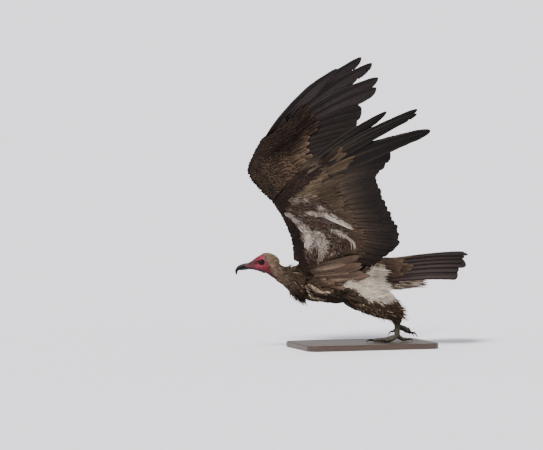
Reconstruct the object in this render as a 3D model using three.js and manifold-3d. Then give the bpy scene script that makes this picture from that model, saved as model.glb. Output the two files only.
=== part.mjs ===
// A hooded vulture at the moment of take-off, life size, on a flat display base.
// Millimetres, +Z up. The bird heads along -X and its left side is at -Y.
// The origin is the centre of the base's underside.
//
// Bird points are written (back, out, up) from the mid-point between the shoulder joints,
// before the bank: "back" runs to the tail, "out" away from the body's middle plane.

import * as THREE from "three";
import { mergeVertices } from "three/addons/utils/BufferGeometryUtils.js";
import Module from "manifold-3d";

const wasm = await Module();
wasm.setup();

// ---------------------------------------------------------------- driving dimensions

const BASE = { length: 390, width: 230, thick: 16, corner: 26, bevel: 2.5 };
const GROUND = BASE.thick; // the level that the standing foot rests on
const SHOULDER = new THREE.Vector3(-170, 0, GROUND + 220); // between the two shoulder joints
const BANK = THREE.MathUtils.degToRad(18); // the bird rolls, with its left side low
const HEAD_TURN = THREE.MathUtils.degToRad(9); // head and neck turn to the bird's right
const GAP = 0.35; // clearance between neighbouring solids
const LEFT = { name: "left", y: -1 };
const RIGHT = { name: "right", y: 1 };

const v3 = (x, y, z) => new THREE.Vector3(x, y, z);
const { lerp, clamp, smoothstep } = THREE.MathUtils;

// ---------------------------------------------------------------- frames

// A body point, banked about the line through the shoulders' mid-point, in the part's frame.
function bodyPoint([back, out, up], side = RIGHT) {
  return v3(back, side.y * out, up)
    .applyAxisAngle(v3(1, 0, 0), BANK)
    .add(SHOULDER);
}

// A point of the head or neck: these stay level, in an upright plane turned by HEAD_TURN.
function headPoint(back, up, out = 0) {
  return v3(back, out, up)
    .applyAxisAngle(v3(0, 0, 1), -HEAD_TURN)
    .add(SHOULDER);
}

// ---------------------------------------------------------------- solids

function signedVolume(position, index) {
  let sum = 0;
  const [a, b, c] = [v3(), v3(), v3()];
  for (let i = 0; i < index.length; i += 3) {
    a.fromBufferAttribute(position, index[i]);
    b.fromBufferAttribute(position, index[i + 1]);
    c.fromBufferAttribute(position, index[i + 2]);
    sum += a.dot(b.cross(c));
  }
  return sum;
}

// A closed body through rings of equally many points, an even number. Each end is closed by
// a ladder of faces between the ring's first half and its second.
function skinRings(rings) {
  const sides = rings[0].length;
  const index = [];
  for (let r = 0; r + 1 < rings.length; r++) {
    for (let s = 0; s < sides; s++) {
      const a = r * sides + s;
      const b = r * sides + ((s + 1) % sides);
      index.push(a, b, a + sides, b, b + sides, a + sides);
    }
  }
  const last = (rings.length - 1) * sides;
  for (let s = 0; s + 1 < sides / 2; s++) {
    const [a, b, c, d] = [s, s + 1, sides - 2 - s, sides - 1 - s];
    index.push(a, c, b, a, d, c);
    index.push(last + a, last + b, last + c, last + a, last + c, last + d);
  }
  const geometry = new THREE.BufferGeometry().setFromPoints(rings.flat());
  if (signedVolume(geometry.getAttribute("position"), index) < 0) index.reverse();
  return geometry.setIndex(index);
}

function solid(geometry) {
  const bare = geometry.clone();
  bare.deleteAttribute("normal");
  bare.deleteAttribute("uv");
  const merged = mergeVertices(bare, 1e-3);
  return new wasm.Manifold(
    new wasm.Mesh({
      numProp: 3,
      vertProperties: merged.getAttribute("position").array,
      triVerts: new Uint32Array(merged.index.array),
    }),
  );
}

// The largest connected body of a cut.
function largest(cut) {
  return cut.decompose().reduce((a, b) => (a.volume() > b.volume() ? a : b));
}

function join(solids) {
  return solids.reduce((a, b) => a.add(b));
}

function geometryOf(made) {
  const { vertProperties, triVerts, numProp, numVert } = made.getMesh();
  const places = new Float32Array(numVert * 3);
  for (let i = 0; i < numVert; i++) {
    places.set(vertProperties.subarray(i * numProp, i * numProp + 3), i * 3);
  }
  const geometry = new THREE.BufferGeometry()
    .setAttribute("position", new THREE.BufferAttribute(places, 3))
    .setIndex(new THREE.BufferAttribute(triVerts, 1));
  geometry.computeVertexNormals();
  return geometry;
}

// ---------------------------------------------------------------- lofts

// Stations are {at, wide, deep}: a centre and two half-sizes. A smooth line runs through them,
// and each ring is an ellipse across it, "deep" along upHint and "wide" across that.
function loft(stations, { rings = 10, sides = 16, upHint = v3(0, 0, 1), grow = 0 } = {}) {
  const line = new THREE.CatmullRomCurve3(stations.map((s) => s.at), false, "centripetal");
  const sizes = new THREE.CatmullRomCurve3(
    stations.map((s, i) => v3(s.wide, s.deep, i * 100)),
    false,
    "centripetal",
  );
  const made = [];
  for (let r = 0; r < rings; r++) {
    const t = r / (rings - 1);
    const along = line.getTangent(t);
    const across = along.clone().cross(upHint).normalize();
    const up = across.clone().cross(along).normalize();
    const size = sizes.getPoint(t);
    const centre = line.getPoint(t);
    if (r === 0) centre.addScaledVector(along, -grow);
    if (r === rings - 1) centre.addScaledVector(along, grow);
    const ring = [];
    for (let s = 0; s < sides; s++) {
      const angle = (2 * Math.PI * (s + 0.5)) / sides;
      ring.push(
        centre
          .clone()
          .addScaledVector(across, (size.x + grow) * Math.cos(angle))
          .addScaledVector(up, (size.y + grow) * Math.sin(angle)),
      );
    }
    made.push(ring);
  }
  return solid(skinRings(made));
}

// ---------------------------------------------------------------- trunk, neck and tail coverts

// [back, half-width, half-height, height of the middle]
const TRUNK = [
  [-36, 16, 16, -42],
  [-27, 36, 32, -42],
  [-10, 52, 46, -43],
  [14, 64, 58, -46],
  [45, 70, 62, -46],
  [85, 69, 60, -45],
  [125, 62, 57, -43],
  [165, 52, 48, -34],
  [205, 42, 30, -14],
  [240, 34, 19, -2],
  [276, 27, 8, 7],
];

function trunkSolid(grow = 0) {
  const stations = TRUNK.map(([back, wide, deep, mid]) => ({
    at: bodyPoint([back, 0, mid]),
    wide,
    deep,
  }));
  const upHint = v3(0, 0, 1).applyAxisAngle(v3(1, 0, 0), BANK);
  return loft(stations, { rings: 14, sides: 18, upHint, grow });
}

// [back, height, half-width, half-height] in the head's upright plane
const NECK = [
  [-104, 2, 19, 21],
  [-90, -7, 21, 23],
  [-77, -17, 22, 23],
  [-64, -25, 25, 24],
  [-48, -33, 32, 31],
  [-28, -40, 44, 42],
  [-6, -44, 50, 46],
];
const SKULL = [
  [-167, -2.6, 7.4, 7.2],
  [-159, -1.8, 9, 9],
  [-149, 0.2, 11.5, 12.5],
  [-138, 2.4, 15, 18],
  [-124, 4.6, 20.5, 24.5],
  [-111, 5.8, 24.5, 29.5],
  [-99, 5.2, 25.5, 31],
  [-92, 3, 24.5, 27.5],
  [-86, 0.5, 19, 20],
];

function headLoft(table, options) {
  const stations = table.map(([back, up, wide, deep]) => ({
    at: headPoint(back, up),
    wide,
    deep,
  }));
  return loft(stations, options);
}

const skull = (grow = 0) => headLoft(SKULL, { rings: 11, sides: 14, grow });
const neck = () => headLoft(NECK, { rings: 7, sides: 12 });

// The long pale feathers under the tail's root.
const UNDERTAIL = [
  [196, 34, 22, -38],
  [250, 34, 26, -47],
  [295, 28, 22, -53],
  [335, 20, 12, -55],
  [362, 7, 3, -54],
];

function undertail() {
  const stations = UNDERTAIL.map(([back, wide, deep, mid]) => ({
    at: bodyPoint([back, 3, mid], LEFT),
    wide,
    deep,
  }));
  const upHint = v3(0, 0, 1).applyAxisAngle(v3(1, 0, 0), BANK);
  return loft(stations, { rings: 6, sides: 12, upHint });
}

// ---------------------------------------------------------------- bill and eyes

const EYE = { back: -126, up: 9.5, out: 12.4, radius: 8.6 };

// [back, height, half-width, half-thickness] from the cere to the tip of the hook
const UPPER_BILL = [
  [-167, 0.8, 6.8, 5.8],
  [-176, -1.2, 5.8, 5.5],
  [-186.5, -5.4, 4.6, 5],
  [-193.6, -13.5, 3, 3.8],
  [-193.6, -25, 0.8, 0.9],
];
const LOWER_BILL = [
  [-165, -9, 6.2, 3.4],
  [-174, -10.4, 5, 3],
  [-182, -11.6, 3.6, 2.3],
  [-188, -12.4, 1.5, 1.3],
];

// ---------------------------------------------------------------- wings
// A wing is laid out along a count k of its flight feathers, from the body to the tip:
// tertials 0 to 3, secondaries 4 to 19 and primaries 20 to 29, of which the last five part.

const FEATHERS = { tertials: [0, 3], secondaries: [4, 19], primaries: [20, 24] };
const K = { shoulder: -3, elbow: 3.5, wrist: 19.5, fingers: 24.5, tip: 29 };
const JOINTS = [
  [K.shoulder, [0, 38, 0]],
  [K.elbow, [-16, 90, 135]],
  [K.wrist, [-146, 125, 228]],
  [K.tip, [-102, 146, 319]],
];
// The left arm reaches a little further forward than the right.
const LEADING_EDGES = {
  left: [
    [K.shoulder, [-26, 32, 4]],
    [0, [-54, 50, 62]],
    [K.elbow, [-88, 80, 135]],
    [12, [-124, 104, 188]],
    [K.wrist, [-155, 125, 231]],
    [25, [-134, 137, 276]],
    [K.tip, [-104, 146, 322]],
  ],
  right: [
    [K.shoulder, [-22, 32, 4]],
    [0, [-32, 50, 62]],
    [K.elbow, [-68, 80, 135]],
    [12, [-122, 104, 188]],
    [K.wrist, [-155, 125, 231]],
    [25, [-140, 137, 280]],
    [K.tip, [-112, 146, 328]],
  ],
};
// The trailing edge, as the feathers' tips; from K.fingers on it runs between the fingers.
const INNER_TRAILING_EDGE = [
  [K.shoulder, [110, 52, 2]],
  [0, [167, 70, 32]],
  [3, [217, 95, 75]],
  [6, [227, 115, 118]],
  [12, [186, 130, 196]],
];
const TRAILING_EDGES = {
  left: [
    ...INNER_TRAILING_EDGE,
    [18, [122, 160, 306]],
    [22, [120, 184, 360]],
    [K.fingers, [142, 198, 406]],
    [K.tip, [138, 197, 470]],
  ],
  right: [
    ...INNER_TRAILING_EDGE,
    [18, [142, 164, 300]],
    [22, [168, 192, 350]],
    [K.fingers, [198, 209, 402]],
    [K.tip, [170, 203, 474]],
  ],
};
const FINGER_TIPS = {
  left: {
    25: [180, 206, 441],
    26: [238, 220, 468],
    27: [196, 214, 513],
    28: [196, 212, 526],
    29: [117, 190, 512],
  },
  right: {
    25: [238, 221, 451],
    26: [240, 221, 481],
    27: [214, 215, 526],
    28: [176, 206, 546],
    29: [101, 188, 517],
  },
};
const BOW = { left: 0.055, right: 0.1 }; // of a primary, to the leading side, by its length
const DROOP = -0.03; // of every flight feather, towards the wing's lower side
const COVERTED = { arm: 0.42, tip: 0.3 }; // the share of a flight feather that coverts hide

// A smooth line through a table of [k, point].
function smoothAlong(table, k) {
  let i = 1;
  while (i < table.length - 1 && k > table[i][0]) i++;
  const at = (n) => table[clamp(n, 0, table.length - 1)];
  const [[ka, a], [k0, b], [k1, c], [kd, d]] = [at(i - 2), at(i - 1), at(i), at(i + 1)];
  const t = (k - k0) / (k1 - k0);
  const span = k1 - k0;
  const before = v3(...c).sub(v3(...a)).multiplyScalar(span / (k1 - ka));
  const after = v3(...d).sub(v3(...b)).multiplyScalar(span / (kd - k0));
  const [t2, t3] = [t * t, t * t * t];
  return v3(...b)
    .multiplyScalar(2 * t3 - 3 * t2 + 1)
    .addScaledVector(before, t3 - 2 * t2 + t)
    .addScaledVector(v3(...c), 3 * t2 - 2 * t3)
    .addScaledVector(after, t3 - t2);
}

// Straight lines through a table of [k, point].
function along(table, k) {
  let i = 1;
  while (i < table.length - 1 && k > table[i][0]) i++;
  const [[k0, a], [k1, b]] = [table[i - 1], table[i]];
  return v3(...a).lerp(v3(...b), (k - k0) / (k1 - k0));
}

const rootAt = (k) => along(JOINTS, k);
const edgeAt = (k, side) => smoothAlong(TRAILING_EDGES[side.name], k);

// The way out of the wing's upper side, at the feather k.
function dorsalAt(k, side) {
  const mid = (n) => rootAt(n).lerp(edgeAt(n, side), 0.6);
  const span = mid(Math.min(k + 1, K.tip)).sub(mid(Math.max(k - 1, K.shoulder)));
  const run = edgeAt(k, side).sub(rootAt(k));
  return run.cross(span).normalize();
}

// The bowed shaft of the feather k, from its root to its tip.
function shaftAt(k, side, tip = edgeAt(k, side)) {
  const root = rootAt(k);
  const normal = dorsalAt(k, side);
  const run = tip.clone().sub(root);
  const lead = normal.clone().cross(run).normalize();
  const bow = BOW[side.name] * smoothstep(k, 10, 25) * run.length();
  const mid = root
    .clone()
    .lerp(tip, 0.5)
    .addScaledVector(lead, bow)
    .addScaledVector(normal, DROOP * run.length());
  return new THREE.QuadraticBezierCurve3(root, mid, tip);
}

// Mirrors half-frame rings to a side and banks them with the body.
function placed(rings, side) {
  return rings.map((ring) => ring.map((p) => bodyPoint(p.toArray(), side)));
}

// Overlapping feathers as one pleated plate. Each entry of the profile is a feather's edge:
// its place across the plate, its lift above the middle and where along the feather it ends.
const PLEAT = { thick: 1.3, step: 0.4, tooth: 0.03, between: 0.02 };

function pleatedPlate(profile, stops, pointAt, above = PLEAT.thick / 2, below = above) {
  const rings = stops.map((stop) => {
    const level = (height) =>
      profile.map(({ place, lift, end }) => pointAt(place, stop, end, lift + height));
    return [...level(above), ...level(-below).reverse()];
  });
  return solid(skinRings(rings));
}

// The leading side of each wing feather lies over its outer neighbour, and each tip is a
// tooth of the trailing edge.
function featherPlate(first, last, side) {
  const profile = [];
  for (let k = last; k >= first; k--) {
    const lead = k === last ? k + 0.5 - PLEAT.between : k + 0.5;
    const trail = k === first ? k - 0.5 + PLEAT.between : k - 0.5;
    profile.push({ place: lead, lift: PLEAT.step, end: 1 - PLEAT.tooth });
    profile.push({ place: trail, lift: -PLEAT.step, end: 1 });
  }
  return pleatedPlate(profile, [0, 0.5, 1], (k, stop, end, height) => {
    const shaft = shaftAt(k, side);
    const at = shaft.getPoint(lerp(COVERTED.arm, end, stop));
    if (stop === 0) at.copy(armEdge(k, side)).addScaledVector(shaft.getTangent(0.5), GAP);
    return bodyPoint(at.addScaledVector(dorsalAt(k, side), height).toArray(), side);
  });
}

// An outer primary on its own: a thin plate, whose vanes narrow over a share of its length to
// its tip. Those of the right wing stay broad and close up to near their tips.
const FINGER_VANES = {
  left: {
    25: { lead: 14, trail: 30 },
    26: { lead: 24, trail: 30 },
    27: { lead: 14, trail: 17 },
    28: { lead: 12, trail: 26 },
    29: { lead: 12, trail: 24 },
  },
  right: {
    25: { lead: 16, trail: 54 },
    26: { lead: 16, trail: 48 },
    27: { lead: 14, trail: 48 },
    28: { lead: 13, trail: 46 },
    29: { lead: 13, trail: 34 },
  },
};
const FINGER_NARROWS = {
  left: { by: 0.5, from: 0.5, to: 1 },
  right: { by: 0.45, from: 0.66, to: 0.9 },
};
const FINGER_THICK = 1.6;
const FINGER_STOPS = [0.5, 0.75, 0.9, 1];
const FINGER_START = { inner: 0.24, outermost: 0.06 };

function finger(k, side) {
  const tip = v3(...FINGER_TIPS[side.name][k]);
  const shaft = shaftAt(k, side, tip);
  const normal = dorsalAt(k, side);
  const vanes = FINGER_VANES[side.name][k];
  const { by, from, to } = FINGER_NARROWS[side.name];
  const start = k === K.tip ? FINGER_START.outermost : FINGER_START.inner;
  const rings = [start, ...FINGER_STOPS].map((t) => {
    const at = shaft.getPoint(t);
    const run = shaft.getTangent(t);
    const across = normal.clone().cross(run).normalize();
    const up = run.clone().cross(across);
    const round = t > 0.85 ? Math.sqrt(Math.max(0.02, 1 - ((t - 0.85) / 0.15) ** 2)) : 1;
    const whole = Math.min(1, 0.6 + 2 * t) * round;
    const narrow = 1 - by * smoothstep(t, from, to);
    const lead = vanes.lead * whole * narrow;
    const trail = vanes.trail * whole * narrow;
    const half = (FINGER_THICK / 2) * (t > 0.9 ? 0.7 : 1);
    const edge = (vane, height) =>
      at.clone().addScaledVector(across, vane).addScaledVector(up, height);
    return [edge(lead, half), edge(-trail, half), edge(-trail, -half), edge(lead, -half)];
  });
  return solid(skinRings(placed(rings, side)));
}

// The arm's flesh and coverts: an aerofoil section across the wing at k.
const ARM_THICKNESS = [
  [K.shoulder, 17],
  [0, 14],
  [K.elbow, 12],
  [12, 9.5],
  [K.wrist, 8],
  [25, 5.6],
  [K.tip, 3.6],
];
const SECTION_POINTS = 12;
const CAMBER = 0.05;

function armThickness(k) {
  let i = 1;
  while (i < ARM_THICKNESS.length - 1 && k > ARM_THICKNESS[i][0]) i++;
  const [[k0, a], [k1, b]] = [ARM_THICKNESS[i - 1], ARM_THICKNESS[i]];
  return lerp(a, b, (k - k0) / (k1 - k0));
}

// Where the coverts end and the bare flight feathers begin.
function coveredTo(k, side) {
  const share = clamp((k - K.fingers) / (K.tip - K.fingers), 0, 1);
  return shaftAt(k, side).getPoint(lerp(COVERTED.arm, COVERTED.tip, share));
}

function armSection(k, side, grow) {
  const front = smoothAlong(LEADING_EDGES[side.name], k);
  const chord = coveredTo(k, side).sub(front);
  const run = chord.clone().normalize();
  const normal = dorsalAt(k, side);
  const up = normal.clone().addScaledVector(run, -normal.dot(run)).normalize();
  const half = armThickness(k);
  const reach = (1 + Math.cos(Math.PI / SECTION_POINTS)) / 2;
  const ring = [];
  for (let s = 0; s < SECTION_POINTS; s++) {
    const angle = (2 * Math.PI * (s + 0.5)) / SECTION_POINTS;
    const x = (1 - Math.cos(angle)) / 2 / reach;
    const profile = 2.5 * Math.sqrt(x) * (1 - x) + 0.14 * x;
    const camber = CAMBER * chord.length() * 4 * x * (1 - x);
    const face = Math.sign(Math.sin(angle));
    ring.push(
      front
        .clone()
        .addScaledVector(chord, x)
        .addScaledVector(run, grow * (2 * x - 1))
        .addScaledVector(up, face * (half * profile + grow) + camber),
    );
  }
  return ring;
}

// The three parts of an arm, each as the counts k of its sections.
const ARM_SECTIONS = {
  upper_arm: [K.shoulder, -1.5, -0.5, 1.5, K.elbow],
  forearm: [K.elbow, 6.5, 9.5, 12.5, 15.5, 17.5, K.wrist],
  hand: [K.wrist, 21.5, 23.5, K.fingers, 26, 27.5, K.tip],
};
const PARTING = 0.02; // half the space between two parts of an arm, as a share of a feather

function armPart(name, side, grow = 0) {
  const counts = [...ARM_SECTIONS[name]];
  if (grow === 0 && name !== "upper_arm") counts[0] += PARTING;
  if (grow === 0 && name !== "hand") counts[counts.length - 1] -= PARTING;
  const rings = counts.map((k) => armSection(k, side, grow));
  return solid(skinRings(placed(rings, side)));
}

// A point of the arm's back edge, which runs straight from section to section.
function armEdge(k, side) {
  const counts = Object.values(ARM_SECTIONS).flat();
  const next = Math.max(1, counts.findIndex((count) => count >= k));
  const [from, to] = [counts[next - 1], counts[next]];
  const share = to > from ? (k - from) / (to - from) : 0;
  return coveredTo(from, side).lerp(coveredTo(to, side), share);
}

// Short stiff feathers as one tapering plate: from and to are its root and tip, and hang is
// the way its back edge lies.
function smallPlate(from, to, hang, { front, back, thick }, side) {
  const run = to.clone().sub(from).normalize();
  const across = hang.clone().addScaledVector(run, -hang.dot(run)).normalize();
  const up = run.clone().cross(across).normalize();
  const rings = [0, 0.35, 0.75, 0.93, 1].map((t) => {
    const round = t > 0.6 ? Math.sqrt(Math.max(0.04, 1 - ((t - 0.6) / 0.4) ** 2)) : 1;
    const whole = Math.min(1, 0.5 + 2 * t) * round;
    const edge = (vane, height) =>
      from
        .clone()
        .lerp(to, t)
        .addScaledVector(across, vane * whole)
        .addScaledVector(up, height);
    const half = thick / 2;
    return [edge(back, half), edge(-front, half), edge(-front, -half), edge(back, -half)];
  });
  return solid(skinRings(placed(rings, side)));
}

// The alula: the thumb's short stiff feathers at the bend of the wing.
function alula(side) {
  const edge = (k) => smoothAlong(LEADING_EDGES[side.name], k);
  const lift = dorsalAt(23, side);
  const hang = edgeAt(24, side).sub(rootAt(24));
  const shape = { front: 2, back: 12, thick: 3 };
  return smallPlate(edge(21).add(lift), edge(27.6).add(lift), hang, shape, side);
}

// The long feathers of the armpit, that close the space between wing and body: the lowest
// and the highest, from root to tip.
const AXILLARIES = {
  count: 5,
  low: [[14, 52, -26], [172, 78, -8]],
  high: [[-4, 54, 40], [138, 95, 66]],
};

function axillaries(side) {
  const { count, low, high } = AXILLARIES;
  const profile = [];
  for (let i = 0; i < count; i++) {
    profile.push({ place: i / count, lift: PLEAT.step, end: 0.94 });
    profile.push({ place: (i + 1) / count, lift: -PLEAT.step, end: 1 });
  }
  return pleatedPlate(profile, [0, 0.5, 1], (place, stop, end, height) => {
    const root = v3(...low[0]).lerp(v3(...high[0]), place);
    const tip = v3(...low[1]).lerp(v3(...high[1]), place);
    const at = root.lerp(tip, stop * end);
    return bodyPoint([at.x, at.y + height, at.z], side);
  });
}

// ---------------------------------------------------------------- tail
// Six pairs of feathers make one pleated plate, with the middle pair as the ridge of an arch.

const TAIL = {
  pairs: 6,
  rootBack: 205,
  length: 272, // of the middle pair, from its root
  graduation: 44, // by how much the outermost falls short
  rootHalf: 36,
  tipHalf: 84,
  ridgeStart: 3,
  ridgeRise: 31,
  fall: { root: 47, tip: 45 }, // of the outer edges, below the ridge
  swing: THREE.MathUtils.degToRad(4), // the tail turns a little to the left
};

// A point of the tail: share of its length, and place across from -1 (left) to 1 (right).
function tailPoint(share, place, height) {
  const { rootBack, length, graduation, rootHalf, tipHalf, ridgeStart, ridgeRise, fall } = TAIL;
  const reach = (length - graduation * place * place) * share;
  const out = place * lerp(rootHalf, tipHalf, share);
  const ridge = ridgeStart + ridgeRise * Math.sin((share * Math.PI) / 2);
  const drop = lerp(fall.root, fall.tip, share) * place * place;
  const turned = v3(reach, out, ridge - drop + height).applyAxisAngle(v3(0, 0, 1), -TAIL.swing);
  return bodyPoint(turned.add(v3(rootBack, 0, 0)).toArray());
}

const TAIL_STOPS = [0, 0.33, 0.66, 0.96];

function tailPlate(above, below) {
  const profile = [];
  for (let i = -TAIL.pairs; i < TAIL.pairs; i++) {
    const [lift, ends] = i < 0 ? [PLEAT.step, [0.965, 1]] : [-PLEAT.step, [1, 0.965]];
    profile.push({ place: i / TAIL.pairs, lift, end: ends[0] });
    profile.push({ place: (i + 1) / TAIL.pairs, lift: -lift, end: ends[1] });
  }
  const pointAt = (place, stop, end, height) => tailPoint(Math.min(stop, end), place, height);
  return pleatedPlate(profile, [...TAIL_STOPS, 1], pointAt, above, below);
}

// ---------------------------------------------------------------- legs and feet

// [x, y, z, half-width, half-depth] from inside the flank to the fringe over the ankle
const THIGHS = {
  left: [
    [-66, -36, 190, 20, 36],
    [-32, -42, 169, 28, 48],
    [14, -42, 141, 29, 48],
    [66, -36, 113, 24, 36],
    [94, -31, 93, 17, 25],
    [99, -29, 79, 11, 16],
  ],
  right: [
    [-66, 50, 206, 20, 32],
    [-32, 54, 192, 26, 40],
    [10, 52, 168, 27, 40],
    [46, 46, 145, 23, 30],
    [72, 38, 124, 15, 20],
    [80, 36, 109, 10, 12],
  ],
};
const ANKLES = { left: v3(96, -29, 84), right: v3(80, 36, 116) };
const FOOT_JOINTS = { left: v3(95, -27, GROUND + 14), right: v3(121, 27, 53) };

function thigh(side, grow = 0) {
  const stations = THIGHS[side.name].map(([x, y, z, wide, deep]) => ({
    at: v3(x, y, z),
    wide,
    deep,
  }));
  return loft(stations, { rings: 8, sides: 14, grow });
}

function shank(side, grow = 0) {
  const [top, foot] = [ANKLES[side.name], FOOT_JOINTS[side.name]];
  const at = (t) => top.clone().lerp(foot, t);
  return loft(
    [
      { at: at(-0.12), wide: 7.2, deep: 9 },
      { at: at(0.05), wide: 7.6, deep: 10 },
      { at: at(0.35), wide: 6.2, deep: 8.4 },
      { at: at(0.75), wide: 6, deep: 7.6 },
      { at: at(0.98), wide: 8, deep: 8.6 },
      { at: at(1.06), wide: 6, deep: 5.6 },
    ],
    { rings: 6, sides: 8, upHint: v3(1, 0, 0), grow },
  );
}

// turn is the toe's heading away from straight ahead, to the bird's own middle side if positive
const TOES = {
  inner: { turn: 30, length: 46, root: 6.6, end: 4.8, claw: 20 },
  middle: { turn: 2, length: 67, root: 7, end: 5, claw: 23 },
  outer: { turn: -30, length: 48, root: 6.4, end: 4.6, claw: 18 },
  hind: { turn: 168, length: 30, root: 6.4, end: 4.8, claw: 21 },
};
const TOE_LINE = [0.06, 0.3, 0.55, 0.8, 1];

// The line of a standing toe, which lies along the ground with its joints a little raised.
function standingToe(side, { turn, length, root, end }) {
  const joint = FOOT_JOINTS[side.name];
  const heading = v3(-1, 0, 0).applyAxisAngle(
    v3(0, 0, 1),
    THREE.MathUtils.degToRad(turn) * side.y,
  );
  return TOE_LINE.map((t, i) => {
    const radius = lerp(root, end, t);
    const knuckle = i % 2 === 0 ? 0.5 : 1.8;
    const height = lerp(joint.z, GROUND + radius, smoothstep(t, 0, 0.45));
    const at = joint.clone().addScaledVector(heading, 4 + length * t);
    at.z = height + knuckle;
    return { at, wide: radius, deep: radius * 0.92 };
  });
}

// The lifted foot's toes: the front ones hang half closed behind, the hind toe ahead.
const LIFTED = {
  inner: { down: 16, turn: 156, curl: -26 },
  middle: { down: 14, turn: 180, curl: -20 },
  outer: { down: -4, turn: -158, curl: -26 },
  hind: { down: 40, turn: 8, curl: 10 },
};

function liftedToe(side, { length, root, end }, { down, turn, curl }) {
  const joint = FOOT_JOINTS[side.name];
  const [dip, yaw, bend] = [down, turn, curl].map(THREE.MathUtils.degToRad);
  const heading = v3(-Math.cos(yaw), -side.y * Math.sin(yaw), 0);
  const reach = length * 0.54;
  const at = joint.clone();
  return TOE_LINE.map((t, i) => {
    const angle = -dip + bend * t;
    const step = (i === 0 ? TOE_LINE[0] : t - TOE_LINE[i - 1]) * reach + (i === 0 ? 4 : 0);
    at.addScaledVector(heading, step * Math.cos(angle));
    at.z += step * Math.sin(angle);
    const radius = lerp(root, end, t);
    return { at: at.clone(), wide: radius, deep: radius };
  });
}

// A claw curves on from the last length of its toe, down and round.
function clawLine(toe, length, drop) {
  const end = toe[toe.length - 1];
  const run = end.at.clone().sub(toe[toe.length - 2].at).normalize();
  const flat = v3(run.x, run.y, 0).normalize();
  const size = end.wide * 0.74;
  return [0, 0.3, 0.62, 0.88, 1].map((t) => {
    const at = end.at
      .clone()
      .addScaledVector(flat, 1 + length * Math.sin(t * 1.25))
      .add(v3(0, 0, 3.2 * Math.sin(Math.PI * Math.min(1, t * 1.2)) - drop * t * t));
    const radius = size * (1 - t * 0.86);
    return { at, wide: radius * 0.8, deep: radius };
  });
}

function footSolids(side) {
  const made = {};
  for (const [name, toe] of Object.entries(TOES)) {
    const standing = side === LEFT;
    const line = standing
      ? standingToe(side, toe)
      : liftedToe(side, toe, LIFTED[name]);
    const drop = standing ? line[line.length - 1].at.z - GROUND - 1.6 : toe.claw * 0.55;
    made["toe_" + name] = (grow) => loft(line, { rings: 5, sides: 6, grow });
    made["claw_" + name] = () =>
      loft(clawLine(line, toe.claw * 0.9, drop), { rings: 4, sides: 6 });
  }
  return made;
}

// Nothing of the standing foot goes below the level that it rests on.
function aboveGround(made) {
  const slab = new THREE.BoxGeometry(600, 400, 60);
  slab.translate(0, 0, GROUND + GAP - 30);
  return made.subtract(solid(slab));
}

// ---------------------------------------------------------------- display base

function baseGeometry() {
  const { length, width, thick, corner, bevel } = BASE;
  const [x, y] = [length / 2 - bevel, width / 2 - bevel];
  const outline = new THREE.Shape();
  outline.absarc(x - corner, y - corner, corner, 0, Math.PI / 2);
  outline.absarc(-x + corner, y - corner, corner, Math.PI / 2, Math.PI);
  outline.absarc(-x + corner, -y + corner, corner, Math.PI, 1.5 * Math.PI);
  outline.absarc(x - corner, -y + corner, corner, 1.5 * Math.PI, 2 * Math.PI);
  const geometry = new THREE.ExtrudeGeometry(outline, {
    depth: thick - 2 * bevel,
    bevelThickness: bevel,
    bevelSize: bevel,
    bevelSegments: 1,
    curveSegments: 3,
  });
  return geometry.translate(0, 0, bevel);
}

// ---------------------------------------------------------------- materials and assembly

const finish = (color, roughness) => new THREE.MeshStandardMaterial({ color, roughness });
const MATERIALS = {
  plumage: finish(0x33261e, 0.85),
  flight: finish(0x241c19, 0.7),
  down: finish(0xcfc6b4, 0.95),
  face: finish(0xb4515c, 0.6),
  hood: finish(0x84755f, 0.95),
  horn: finish(0x1b191a, 0.4),
  eye: finish(0x120c0a, 0.1),
  scute: finish(0x7d7b78, 0.6),
  stand: finish(0x5a4230, 0.5),
};

const bird = new THREE.Group();
const whole = new THREE.Group();

function add(name, made, material, group = bird) {
  const geometry = made.isBufferGeometry ? made : geometryOf(made);
  const mesh = new THREE.Mesh(geometry, MATERIALS[material]);
  mesh.name = name;
  group.add(mesh);
  return mesh;
}

function buildHead() {
  const eyes = {};
  for (const side of [LEFT, RIGHT]) {
    const ball = (grow) => {
      const sphere = new THREE.SphereGeometry(EYE.radius + grow, 9, 6);
      const at = headPoint(EYE.back, EYE.up, side.y * EYE.out);
      return solid(sphere.translate(at.x, at.y, at.z));
    };
    eyes[side.name] = ball;
    add("eye_" + side.name, ball(0), "eye");
  }
  const upper = (grow) => headLoft(UPPER_BILL, { rings: 9, sides: 12, grow });
  const lower = (grow) => headLoft(LOWER_BILL, { rings: 5, sides: 8, grow });
  add("bill_upper", upper(0), "horn");
  add("bill_lower", largest(lower(0).subtract(upper(GAP))), "horn");
  const cuts = [upper(GAP), lower(GAP), eyes.left(GAP), eyes.right(GAP)];
  add("head", largest(cuts.reduce((made, cut) => made.subtract(cut), skull())), "face");
  add("neck", largest(neck().subtract(skull(GAP)).subtract(trunkSolid(GAP))), "hood");
}

function buildWing(side) {
  const body = trunkSolid(GAP);
  const part = (name, made, material) =>
    add(`wing_${side.name}_${name}`, largest(made), material);
  part("upper_arm", armPart("upper_arm", side).subtract(body), "plumage");
  part("forearm", armPart("forearm", side), "plumage");
  part("hand", armPart("hand", side), "plumage");
  const hand = armPart("hand", side, GAP);
  part("alula", alula(side).subtract(hand), "flight");
  const fingers = Object.keys(FINGER_TIPS[side.name]).map((k) => finger(Number(k), side));
  const free = join(fingers).subtract(hand);
  const plate = (name) => featherPlate(...FEATHERS[name], side);
  part("primaries", plate("primaries").add(free), "flight");
  part("secondaries", plate("secondaries"), "flight");
  part("tertials", plate("tertials").subtract(body), "flight");
  const armpit = axillaries(side).subtract(armPart("upper_arm", side, GAP)).subtract(body);
  part("axillaries", armpit.subtract(thigh(side, GAP)), "flight");
}

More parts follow.
